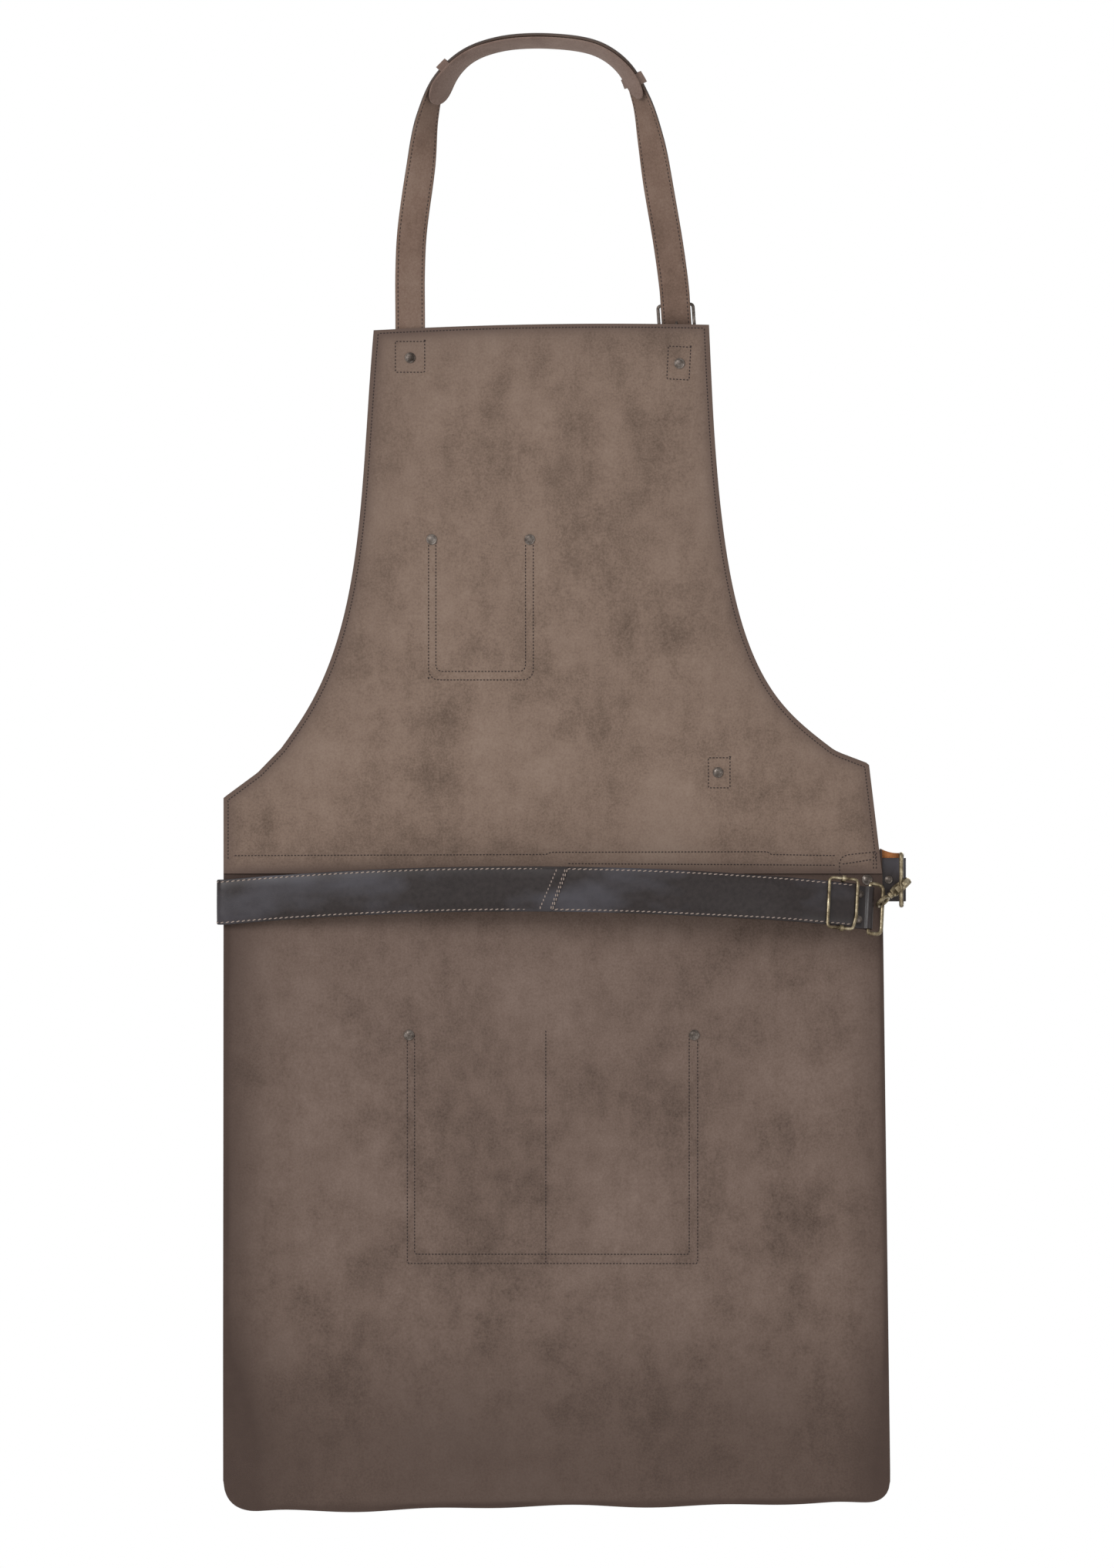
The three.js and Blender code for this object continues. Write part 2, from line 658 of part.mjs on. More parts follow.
function faceFromPath(along) {
  return new THREE.Vector3().crossVectors(along, new THREE.Vector3(0, 0, 1));
}

function beltTurnAt(origin) {
  if (origin.y > beltBackY - 1) return 0;
  const share = (origin.x - (sliderX - beltEndStraight - 130)) / 130;
  return -THREE.MathUtils.degToRad(beltEndRoll) * smoothstep(share);
}

const beltBand = makeBand(beltCurvePoints(), faceFromPath, beltTurnAt);
const beltAnchorRivet = new THREE.Vector2(
  waistLeft + beltAnchor - 14, beltZ(waistLeft - 0.3));

// Distance along the belt at which its rear run passes x
function beltStation(x) {
  let low = beltAnchor + 20;
  let high = beltBand.length;
  for (let i = 0; i < 40; i++) {
    const middle = (low + high) / 2;
    if (bandAxes(beltBand, middle).origin.x < x) low = middle;
    else high = middle;
  }
  return low;
}

function addBelt() {
  const spliceAt = beltStation(-1);
  const wrapEnd = beltAnchor + 1.5 * Math.PI * wrapRadius;
  const slantAt = (x) => (Math.abs(x - spliceAt) < 1 ? spliceSlant : 0);
  const left = strip([
    ...spread(0, beltAnchor - 2, 4), ...spread(beltAnchor - 2, wrapEnd, 12).slice(1),
    ...spread(wrapEnd, spliceAt - layGap / 2, 16).slice(1),
  ], beltLeather, () => beltWidth, slantAt);
  const drill = rivetDrill(beltAnchorRivet.x, beltAnchorRivet.y, 8).translate(0, beltFrontY, 0);
  addPiece('belt_left', cut(bend(left, beltBand), drill), beltHide);
  const right = strip(
    spread(spliceAt + layGap / 2, beltBand.length, 22), beltLeather, () => beltWidth, slantAt);
  addPiece('belt_right', bend(right, beltBand), beltHide);
  addRivet('belt_anchor_rivet', beltAnchorRivet.x, beltAnchorRivet.y,
    skirtBack, beltFrontY + beltLeather / 2);
}

// Belt end: slider, end loop, end ring and snap hook, in axes that lie along the belt (x),
// away from the wearer (y) and across the belt (z), with the origin in the belt at the slider

const beltEnd = new THREE.Group();

function placeBeltEnd() {
  const axes = bandAxes(beltBand, beltStation(sliderX));
  const basis = new THREE.Matrix4().makeBasis(
    axes.along, axes.face.clone().negate(), axes.across);
  beltEnd.applyMatrix4(basis.setPosition(axes.origin));
  apron.add(beltEnd);
}

const foldWidth = beltWidth - foldTrim;
const sliderHeight = beltWidth + sliderRoom + 2 * sliderWire;
const frameY = -beltLeather / 2 - runningGap - sliderWire;
const barY = beltLeather / 2 + runningGap + foldRadius(sliderWire);
const endRingHeight = beltWidth + 2 + 2 * endRingWire;

function addSlider() {
  const frame = wireLoop(roundedOutline(sliderWidth, sliderHeight, 3.5), sliderWire);
  const piece = addPiece('slider_frame', frame, agedBrass, beltEnd);
  piece.rotation.x = Math.PI / 2;
  piece.position.y = frameY;

  // The centre bar stands behind the belt, with an eye at each end round the frame's wire
  const eyeBore = sliderWire + 0.25;
  const eyeOuter = eyeBore + 1.3;
  const reach = sliderHeight / 2;
  const eye = (z) => new THREE.LatheGeometry(
    [[eyeBore, -1.6], [eyeOuter, -1.6], [eyeOuter, 1.6], [eyeBore, 1.6], [eyeBore, -1.6]]
      .map(([r, y]) => new THREE.Vector2(r, y)), 12).rotateZ(Math.PI / 2).translate(0, frameY, z);
  const armY = frameY + eyeBore + 0.6;
  const path = new THREE.CurvePath();
  const corner = 2.2;
  const points = [
    [armY, reach], [barY - corner, reach], [barY, reach - corner],
    [barY, corner - reach], [barY - corner, -reach], [armY, -reach],
  ].map(([y, z]) => new THREE.Vector3(0, y, z));
  path.add(new THREE.LineCurve3(points[0], points[1]));
  path.add(new THREE.QuadraticBezierCurve3(
    points[1], new THREE.Vector3(0, barY, reach), points[2]));
  path.add(new THREE.LineCurve3(points[2], points[3]));
  path.add(new THREE.QuadraticBezierCurve3(
    points[3], new THREE.Vector3(0, barY, -reach), points[4]));
  path.add(new THREE.LineCurve3(points[4], points[5]));
  const bar = new THREE.ExtrudeGeometry(
    new THREE.Shape().absarc(0, 0, sliderWire, 0, 2 * Math.PI),
    { steps: 36, bevelEnabled: false, curveSegments: 4, extrudePath: path });
  addPiece('slider_bar', join(bar, eye(reach), eye(-reach)), agedBrass, beltEnd);
}

// One strip of leather closed round the slider's bar and the end ring's bar, pinched between
function addEndLoop() {
  const near = foldRadius(sliderWire);
  const far = foldRadius(endRingWire);
  const rivetX = beltTail + smallCapRadius + 0.5;
  const pinch = tabLeather + layGap / 2;
  const shape = new THREE.Shape().moveTo(0, -near);
  const pinchStart = rivetX - smallCapRadius - 0.4;
  const pinchEnd = rivetX + smallCapRadius + 0.4;
  const nearBend = 0.5 * pinchStart;
  const farBend = (pinchEnd + endRingReach) / 2;
  shape.bezierCurveTo(nearBend, -near, nearBend, -pinch, pinchStart, -pinch);
  shape.lineTo(pinchEnd, -pinch);
  shape.bezierCurveTo(farBend, -pinch, farBend, -far, endRingReach, -far);
  shape.absarc(endRingReach, 0, far, -Math.PI / 2, Math.PI / 2);
  shape.bezierCurveTo(farBend, far, farBend, pinch, pinchEnd, pinch);
  shape.lineTo(pinchStart, pinch);
  shape.bezierCurveTo(nearBend, pinch, nearBend, near, 0, near);
  shape.absarc(0, 0, near, Math.PI / 2, 1.5 * Math.PI);
  shape.holes.push(
    new THREE.Path().absarc(0, 0, sliderWire + layGap, 0, 2 * Math.PI, true),
    new THREE.Path().absarc(endRingReach, 0, endRingWire + layGap, 0, 2 * Math.PI, true));
  const loop = new THREE.ExtrudeGeometry(shape, {
    depth: foldWidth, bevelEnabled: false, curveSegments: 10,
  }).translate(0, barY, -foldWidth / 2);
  const drills = [-1, 1].map((side) => rivetDrill(rivetX, side * endRivetSpacing / 2));
  addPiece('belt_end_loop', cut(loop, ...drills), beltHide, beltEnd);
  for (const [side, name] of [[-1, 'lower'], [1, 'upper']]) {
    addRivet(`belt_end_rivet_${name}`, rivetX, side * endRivetSpacing / 2,
      barY - pinch, barY + pinch, smallCapRadius, beltEnd);
  }
}

// End ring and snap hook

const ringLean = THREE.MathUtils.degToRad(endRingLean);
const hookAxes = new THREE.Matrix4();

function addEndRing() {
  const outline = roundedOutline(endRingDepth, endRingHeight, 3.5);
  const ring = wireLoop(outline, endRingWire).translate(endRingDepth / 2, 0, 0);
  const piece = addPiece('end_ring', ring.rotateX(Math.PI / 2), agedBrass, beltEnd);
  piece.rotation.z = ringLean;
  piece.position.set(endRingReach, barY, 0);
}

// The hook's axes: x from the end ring's outer wire towards the side ring's bow, y towards the wearer
function placeHook(sideRingBow) {
  beltEnd.updateMatrixWorld(true);
  const seat = new THREE.Vector3(
    endRingReach + endRingDepth * Math.cos(ringLean), barY + endRingDepth * Math.sin(ringLean),
    hookLift).applyMatrix4(beltEnd.matrixWorld);
  const along = sideRingBow.clone().sub(seat).normalize();
  const wearer = new THREE.Vector3(0, -1, 0);
  wearer.addScaledVector(along, -wearer.dot(along)).normalize();
  const side = new THREE.Vector3().crossVectors(along, wearer);
  const wire = new THREE.Vector3(0, 0, 1).transformDirection(beltEnd.matrixWorld);
  hookAxes.makeBasis(along, wearer, side);
  hookAxes.setPosition(seat.addScaledVector(along, hookSeat));
  return { wire, along };
}

const eyeEnd = hookEyeRadius + hookEyeWire;
const bodyStart = eyeEnd + 2.6;
const roomStart = bodyStart + 1.5;
const roomEnd = roomStart + hookRoomLength;
const gateGap = 0.6;

function addHook(placed) {
  const group = new THREE.Group();
  group.applyMatrix4(hookAxes);
  apron.add(group);

  // Eye: a ring square to the hook, turned so that the end ring's wire runs through it
  const wireAcross = placed.wire.clone().addScaledVector(
    placed.along, -placed.wire.dot(placed.along)).normalize();
  const inverse = hookAxes.clone().invert();
  const local = wireAcross.transformDirection(inverse);
  const eyeTurn = Math.atan2(-local.y, local.z);
  const ring = new THREE.TorusGeometry(hookEyeRadius, hookEyeWire, 10, 28);
  const post = new THREE.CylinderGeometry(1.7, 1.7, 5.6, 12).rotateZ(Math.PI / 2);
  post.translate(eyeEnd + 2, 0, 0);
  const collar = new THREE.CylinderGeometry(3.1, 3.1, 2, 14).rotateZ(Math.PI / 2);
  collar.translate(eyeEnd + 0.4, 0, 0);
  const eye = addPiece('hook_eye', join(ring, post, collar), agedBrass, group);
  eye.rotation.x = eyeTurn;

  // Body: a flat hook that opens towards the wearer, its end bored for the eye's post
  const room = hookRoomWidth / 2;
  const outer = room + hookWall;
  const bowX = roomEnd - room;
  const noseX = bowX - 4;
  const shape = new THREE.Shape().moveTo(bodyStart, -3.4).lineTo(bodyStart, 3.4);
  shape.quadraticCurveTo(bodyStart, outer, roomStart + 1, outer).lineTo(roomStart + 3, outer);
  shape.lineTo(roomStart + 3, room + 1.2).lineTo(roomStart + 1.2, room - 0.6);
  shape.quadraticCurveTo(roomStart, 0, roomStart + 2, -room).lineTo(bowX, -room);
  shape.absarc(bowX, 0, room, -Math.PI / 2, Math.PI / 2);
  shape.lineTo(noseX, room).lineTo(noseX, outer).lineTo(bowX, outer);
  shape.absarc(bowX, 0, outer, Math.PI / 2, -Math.PI / 2, true);
  shape.lineTo(roomStart, -outer).quadraticCurveTo(bodyStart, -outer, bodyStart, -3.4);
  const body = new THREE.ExtrudeGeometry(shape, {
    depth: hookThickness, bevelEnabled: false, curveSegments: 8,
  }).translate(0, 0, -hookThickness / 2);
  const bore = new THREE.CylinderGeometry(2, 2, 4.2, 12).rotateZ(Math.PI / 2);
  bore.translate(bodyStart + 0.5, 0, 0);
  addPiece('snap_hook', cut(body, bore), agedBrass, group);

  // Gate: closes the hook on the wearer's side, from its pivot to just short of the nose
  const gateStart = roomStart + 3 + gateGap;
  const gate = new THREE.BoxGeometry(
    noseX - gateGap - gateStart, hookWall - 1.2, hookThickness - 1);
  gate.translate((gateStart + noseX - gateGap) / 2, outer - (hookWall - 1.2) / 2, 0);
  addPiece('hook_gate', gate, agedBrass, group);
}

// Side tab and ring

const tabY = skirtFront + layGap;
const sideBarX = waistRight + sideTabPast;
const sideBarY = tabY + foldRadius(sideRingWire);
const sideTabZ = seamZ - rivetCapRadius - 0.6;
const tabRivets = [31.5, 12];

function addSideTab() {
  const drills = tabRivets.map((reach) => rivetDrill(-reach, 0));
  const tab = cut(foldedTab(sideTabReach, foldWidth, sideRingWire), ...drills);
  const piece = addPiece('side_tab', tab, beltHide);
  piece.position.set(sideBarX, tabY, sideTabZ);
  const front = tabY + 2 * tabLeather + layGap;
  addRivet('side_tab_rivet_inner', sideBarX - tabRivets[0], sideTabZ, skirtBack, front);
  addRivet('side_tab_rivet_outer',
    sideBarX - tabRivets[1], sideTabZ, tabY, front, smallCapRadius);
}

function addSideRing() {
  const height = beltWidth + 2 + 2 * sideRingWire;
  const outline = roundedOutline(sideRingDepth, height, 3.5);
  const ring = wireLoop(outline, sideRingWire, 36).translate(sideRingDepth / 2, 0, 0);
  const piece = addPiece('side_ring', ring.rotateX(Math.PI / 2), agedBrass);
  const swing = -Math.PI / 2 - THREE.MathUtils.degToRad(sideRingSwing);
  piece.rotation.z = swing;
  piece.position.set(sideBarX, sideBarY, sideTabZ);
  return new THREE.Vector3(
    sideBarX + sideRingDepth * Math.cos(swing), sideBarY + sideRingDepth * Math.sin(swing),
    sideTabZ - hookDrop);
}

// Tool tab and ring on the bib's front

function addToolTab() {
  const tab = cut(foldedTab(toolTabReach, toolTabWidth, toolRingWire),
    rivetDrill(-(toolRivetZ - toolBarZ), 0));
  const piece = addPiece('tool_tab', tab, strapHide);
  piece.rotation.y = Math.PI / 2;
  piece.position.set(toolTabX, layGap, toolBarZ);
  addRivet('tool_tab_rivet', toolTabX, toolRivetZ, bibBack, 2 * (layGap + tabLeather));
  const height = toolTabWidth + 3.6 + 2 * toolRingWire;
  const ring = wireLoop(ringOutline(height, toolRingDepth), toolRingWire, 28);
  const ringPiece = addPiece('tool_ring', ring.rotateX(Math.PI / 2), agedBrass);
  ringPiece.rotation.y = Math.PI / 2;
  ringPiece.position.set(toolTabX, layGap + foldRadius(toolRingWire), toolBarZ);
}

addPanels(new THREE.Vector2(sideBarX - tabRivets[0], sideTabZ), beltAnchorRivet);
addPockets();
addNeckLoop();
addBuckle();
addBelt();
placeBeltEnd();
addSlider();
addEndLoop();
addEndRing();
addSideTab();
addHook(placeHook(addSideRing()));
addToolTab();

export default apron;
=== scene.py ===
import bpy
import math
import random
import numpy as np
from mathutils import Matrix, Vector


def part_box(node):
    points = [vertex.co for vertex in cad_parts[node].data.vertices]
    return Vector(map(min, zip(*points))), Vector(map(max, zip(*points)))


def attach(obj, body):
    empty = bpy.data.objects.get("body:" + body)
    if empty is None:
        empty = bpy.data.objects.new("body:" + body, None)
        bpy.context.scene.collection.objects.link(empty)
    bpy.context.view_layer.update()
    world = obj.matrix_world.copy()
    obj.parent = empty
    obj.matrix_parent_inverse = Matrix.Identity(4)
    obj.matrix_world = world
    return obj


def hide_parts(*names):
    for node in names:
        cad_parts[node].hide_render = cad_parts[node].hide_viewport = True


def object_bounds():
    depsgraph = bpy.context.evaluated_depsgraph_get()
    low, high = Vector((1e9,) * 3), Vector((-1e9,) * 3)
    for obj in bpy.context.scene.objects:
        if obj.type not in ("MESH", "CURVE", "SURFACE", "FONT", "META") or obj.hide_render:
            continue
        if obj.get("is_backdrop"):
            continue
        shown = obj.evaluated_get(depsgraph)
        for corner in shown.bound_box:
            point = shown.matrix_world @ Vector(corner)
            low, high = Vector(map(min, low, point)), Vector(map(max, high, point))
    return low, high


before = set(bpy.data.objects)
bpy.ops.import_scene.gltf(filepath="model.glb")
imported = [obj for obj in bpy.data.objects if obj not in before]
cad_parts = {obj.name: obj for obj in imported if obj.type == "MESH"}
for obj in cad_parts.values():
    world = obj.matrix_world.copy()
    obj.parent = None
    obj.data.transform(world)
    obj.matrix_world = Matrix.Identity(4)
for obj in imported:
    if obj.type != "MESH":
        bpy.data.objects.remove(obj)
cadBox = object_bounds()
mm = 0.001
print("frame loaded")

# camera, lights and floor

# each lamp is its place, its size and its power
studio = {
    "aim": (0.0053, 0, -0.6685), "height": 1.4238, "distance": 12,
    "background": 1.0, "roomLight": 0.62,
    "lamps": [((-1.7, -2.4, 0.7), 1.5, 70), ((1.9, -2.6, -0.9), 2.0, 24), ((0.9, 2.8, 0.4), 2.0, 60)],
    "floorDrop": 0.3, "floorRadius": 2.6, "floorColour": (0.86, 0.86, 0.85),
}


def setStudio():
    x, y, z = studio["aim"]
    bpy.ops.object.select_all(action='DESELECT')
    bpy.ops.object.camera_add(location=(x, -studio["distance"], z), rotation=(math.radians(90), 0, 0))
    camera = bpy.context.object
    camera.data.sensor_fit = 'VERTICAL'
    camera.data.sensor_height = 36
    camera.data.lens = 36 * studio["distance"] / studio["height"]
    camera.data.clip_end = 60
    bpy.context.scene.camera = camera
    bpy.context.scene.view_settings.view_transform = 'Standard'

    world = bpy.data.worlds.new("studioWorld")
    world.use_nodes = True
    bpy.context.scene.world = world
    nodes, links = world.node_tree.nodes, world.node_tree.links
    nodes.clear()
    out = nodes.new("ShaderNodeOutputWorld")
    mix = nodes.new("ShaderNodeMixShader")
    path = nodes.new("ShaderNodeLightPath")
    for i, strength in enumerate((studio["roomLight"], studio["background"])):
        light = nodes.new("ShaderNodeBackground")
        light.inputs["Color"].default_value = (1, 1, 1, 1)
        light.inputs["Strength"].default_value = strength
        links.new(light.outputs[0], mix.inputs[i + 1])
    links.new(path.outputs["Is Camera Ray"], mix.inputs[0])
    links.new(mix.outputs[0], out.inputs["Surface"])

    for place, size, power in studio["lamps"]:
        bpy.ops.object.light_add(type='AREA', location=place)
        light = bpy.context.object
        light.data.size = size
        light.data.energy = power
        light.rotation_euler = (Vector((x, y, z)) - Vector(place)).to_track_quat('-Z', 'Y').to_euler()

    # a round floor, well below the hem
    low = cadBox[0][2] - studio["floorDrop"]
    bpy.ops.object.select_all(action='DESELECT')
    bpy.ops.mesh.primitive_circle_add(vertices=96, radius=studio["floorRadius"], fill_type='NGON',
                                      location=(0, 0.2, low))
    floor = bpy.context.object
    floor.name = "floor"
    bpy.ops.object.transform_apply(location=True, rotation=True, scale=True)
    floor.data.materials.append(makePaint("paleFloor", studio["floorColour"]))
    floor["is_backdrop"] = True


# materials

def newMaterial(name):
    material = bpy.data.materials.new(name)
    material.use_nodes = True
    nodes, links = material.node_tree.nodes, material.node_tree.links
    shader = next(n for n in nodes if n.type == 'BSDF_PRINCIPLED')
    return material, nodes, links, shader


def makePaint(name, colour, roughness=0.9):
    material, nodes, links, shader = newMaterial(name)
    shader.inputs["Roughness"].default_value = roughness
    where = nodes.new("ShaderNodeTexCoord")
    noise = addNoise(nodes, links, where.outputs["Object"], 3.0, 2, 0.5)
    ramp = addRamp(nodes, links, noise.outputs["Fac"], [
        (0.3, [0.97 * c for c in colour]), (0.7, colour)])
    links.new(ramp.outputs["Color"], shader.inputs["Base Color"])
    return material


def addNoise(nodes, links, where, scale, detail=4, roughness=0.55, stretch=None):
    if stretch:
        mapping = nodes.new("ShaderNodeMapping")
        mapping.inputs["Scale"].default_value = stretch
        links.new(where, mapping.inputs["Vector"])
        where = mapping.outputs["Vector"]
    noise = nodes.new("ShaderNodeTexNoise")
    noise.inputs["Scale"].default_value = scale
    noise.inputs["Detail"].default_value = detail
    noise.inputs["Roughness"].default_value = roughness
    links.new(where, noise.inputs["Vector"])
    return noise


def addRamp(nodes, links, value, stops):
    ramp = nodes.new("ShaderNodeValToRGB")
    while len(ramp.color_ramp.elements) < len(stops):
        ramp.color_ramp.elements.new(0.5)
    for element, (place, colour) in zip(ramp.color_ramp.elements, stops):
        element.position = place
        element.color = (*colour, 1)
    links.new(value, ramp.inputs["Fac"])
    return ramp


def addMix(nodes, links, factor, first, second, blend='MIX'):
    mix = nodes.new("ShaderNodeMix")
    mix.data_type = 'RGBA'
    mix.blend_type = blend
    for socket, value in ((mix.inputs[0], factor), (mix.inputs[6], first), (mix.inputs[7], second)):
        if isinstance(value, bpy.types.NodeSocket):
            links.new(value, socket)
        elif isinstance(value, (tuple, list)):
            socket.default_value = (*value, 1)
        else:
            socket.default_value = value
    return mix.outputs[2]


def addMath(nodes, links, operation, first, second):
    node = nodes.new("ShaderNodeMath")
    node.operation = operation
    for socket, value in zip(node.inputs, (first, second)):
        if isinstance(value, bpy.types.NodeSocket):
            links.new(value, socket)
        else:
            socket.default_value = value
    return node.outputs[0]


# the sum of several outputs, each times its own share
def addShares(nodes, links, *parts):
    total = None
    for output, share in parts:
        part = addMath(nodes, links, 'MULTIPLY', output, share)
        total = part if total is None else addMath(nodes, links, 'ADD', total, part)
    return total


def addRoughness(nodes, links, shader, value, stops):
    ramp = addRamp(nodes, links, value, [(place, (level,) * 3) for place, level in stops])
    links.new(ramp.outputs["Color"], shader.inputs["Roughness"])


def addBump(nodes, links, shader, height, strength, distance):
    bump = nodes.new("ShaderNodeBump")
    bump.inputs["Strength"].default_value = strength
    bump.inputs["Distance"].default_value = distance
    links.new(height, bump.inputs["Height"])
    links.new(bump.outputs["Normal"], shader.inputs["Normal"])


# brushed flesh side: clouds, patches, brush marks and a short nap. edgeTone darkens it by its edge attribute,
# which on the skirt also holds painted shade below the bib
def makeSuede(name, dark, middle, light, edgeTone=None, sheen=0.25):
    material, nodes, links, shader = newMaterial(name)
    where = nodes.new("ShaderNodeTexCoord").outputs["Object"]
    clouds = addNoise(nodes, links, where, 6.5, 7, 0.68)
    patches = addNoise(nodes, links, where, 24, 6, 0.66)
    brushed = addNoise(nodes, links, where, 60, 5, 0.66, (1, 1, 0.4))
    nap = addNoise(nodes, links, where, 520, 3, 0.75)
    tone = addShares(nodes, links, (clouds.outputs["Fac"], 0.4), (patches.outputs["Fac"], 0.2),
                     (brushed.outputs["Fac"], 0.14), (nap.outputs["Fac"], 0.26))
    ramp = addRamp(nodes, links, tone, [(0.39, dark), (0.5, middle), (0.61, light)])
    colour = ramp.outputs["Color"]
    if edgeTone:
        attribute = nodes.new("ShaderNodeAttribute")
        attribute.attribute_name = "edge"
        darkeningAndShade = addMath(nodes, links, 'MULTIPLY', attribute.outputs["Fac"],
                       addMath(nodes, links, 'ADD', clouds.outputs["Fac"], 0.45))
        colour = addMix(nodes, links, darkeningAndShade, colour, edgeTone)
    links.new(colour, shader.inputs["Base Color"])
    shader.inputs["Roughness"].default_value = 0.93
    shader.inputs["Specular IOR Level"].default_value = 0.18
    shader.inputs["Sheen Weight"].default_value = sheen
    shader.inputs["Sheen Roughness"].default_value = 0.45
    shader.inputs["Sheen Tint"].default_value = (0.72, 0.62, 0.56, 1)
    height = addShares(nodes, links, (nap.outputs["Fac"], 1), (patches.outputs["Fac"], 2.5))
    addBump(nodes, links, shader, height, 0.35, 0.0004)
    return material


# smooth side: fine cells between shallow wrinkles
def makeGrain(name, dark, light, roughness=0.5, cell=520, bump=0.25):
    material, nodes, links, shader = newMaterial(name)
    where = nodes.new("ShaderNodeTexCoord").outputs["Object"]
    clouds = addNoise(nodes, links, where, 9, 5, 0.6)
    fine = addNoise(nodes, links, where, 240, 3, 0.6)
    cells = nodes.new("ShaderNodeTexVoronoi")
    cells.inputs["Scale"].default_value = cell
    links.new(where, cells.inputs["Vector"])
    tone = addShares(nodes, links, (clouds.outputs["Fac"], 0.75), (fine.outputs["Fac"], 0.25))
    ramp = addRamp(nodes, links, tone, [(0.36, dark), (0.64, light)])
    links.new(ramp.outputs["Color"], shader.inputs["Base Color"])
    addRoughness(nodes, links, shader, fine.outputs["Fac"],
                 [(0.3, roughness - 0.07), (0.7, roughness + 0.09)])
    height = addShares(nodes, links, (cells.outputs["Distance"], 1), (fine.outputs["Fac"], 0.6))
    addBump(nodes, links, shader, height, bump, 0.0002)
    return material


# dyed and polished belt leather: nearly black, with painted sheen, a grey-blue highlight painted into its
# colour in long patches
def makeBeltHide(name, dark, light, paintedSheenTone):
    material, nodes, links, shader = newMaterial(name)
    where = nodes.new("ShaderNodeTexCoord").outputs["Object"]
    paintedSheenPatches = addNoise(nodes, links, where, 9, 3, 0.5, (1, 1, 2))
    fine = addNoise(nodes, links, where, 260, 4, 0.65)
    pores = nodes.new("ShaderNodeTexVoronoi")
    pores.inputs["Scale"].default_value = 900
    links.new(where, pores.inputs["Vector"])
    ramp = addRamp(nodes, links, fine.outputs["Fac"], [(0.3, dark), (0.7, light)])
    # painted sheen: long patches where the colour turns to the grey-blue highlight tone
    paintedSheenMask = addRamp(nodes, links, paintedSheenPatches.outputs["Fac"], [(0.47, (0, 0, 0)), (0.66, (0.95, 0.95, 0.95))])
    links.new(addMix(nodes, links, paintedSheenMask.outputs["Color"], ramp.outputs["Color"], paintedSheenTone),
              shader.inputs["Base Color"])
    addRoughness(nodes, links, shader, fine.outputs["Fac"], [(0.3, 0.36), (0.7, 0.5)])
    shader.inputs["Specular IOR Level"].default_value = 0.36
    shader.inputs["Coat Weight"].default_value = 0.08
    shader.inputs["Coat Roughness"].default_value = 0.2
    height = addShares(nodes, links, (pores.outputs["Distance"], 1), (fine.outputs["Fac"], 0.6))
    addBump(nodes, links, shader, height, 0.12, 0.0002)
    return material


# cast or drawn brass with a brown patina in its low places and bright rubbed spots
def makeBrass(name, patina, metal, bright, roughness=0.32):
    material, nodes, links, shader = newMaterial(name)
    where = nodes.new("ShaderNodeTexCoord").outputs["Object"]
    clouds = addNoise(nodes, links, where, 110, 5, 0.65)
    specks = addNoise(nodes, links, where, 900, 3, 0.7)
    tone = addShares(nodes, links, (clouds.outputs["Fac"], 0.8), (specks.outputs["Fac"], 0.2))
    ramp = addRamp(nodes, links, tone, [(0.36, patina), (0.5, metal), (0.66, bright)])
    links.new(ramp.outputs["Color"], shader.inputs["Base Color"])
    shader.inputs["Metallic"].default_value = 0.92
    addRoughness(nodes, links, shader, tone, [(0.36, roughness + 0.25), (0.62, roughness)])
    addBump(nodes, links, shader, specks.outputs["Fac"], 0.12, 0.0001)
    return material


# twisted thread: the twist shows as fine slanted bands
def makeThread(name, colour, shade):
    material, nodes, links, shader = newMaterial(name)
    where = nodes.new("ShaderNodeTexCoord").outputs["Object"]
    wave = nodes.new("ShaderNodeTexWave")
    wave.bands_direction = 'DIAGONAL'
    wave.inputs["Scale"].default_value = 900
    wave.inputs["Distortion"].default_value = 2
    links.new(where, wave.inputs["Vector"])
    ramp = addRamp(nodes, links, wave.outputs["Fac"], [(0.2, shade), (0.7, colour)])
    links.new(ramp.outputs["Color"], shader.inputs["Base Color"])
    shader.inputs["Roughness"].default_value = 0.8
    addBump(nodes, links, shader, wave.outputs["Fac"], 0.3, 0.0001)
    return material


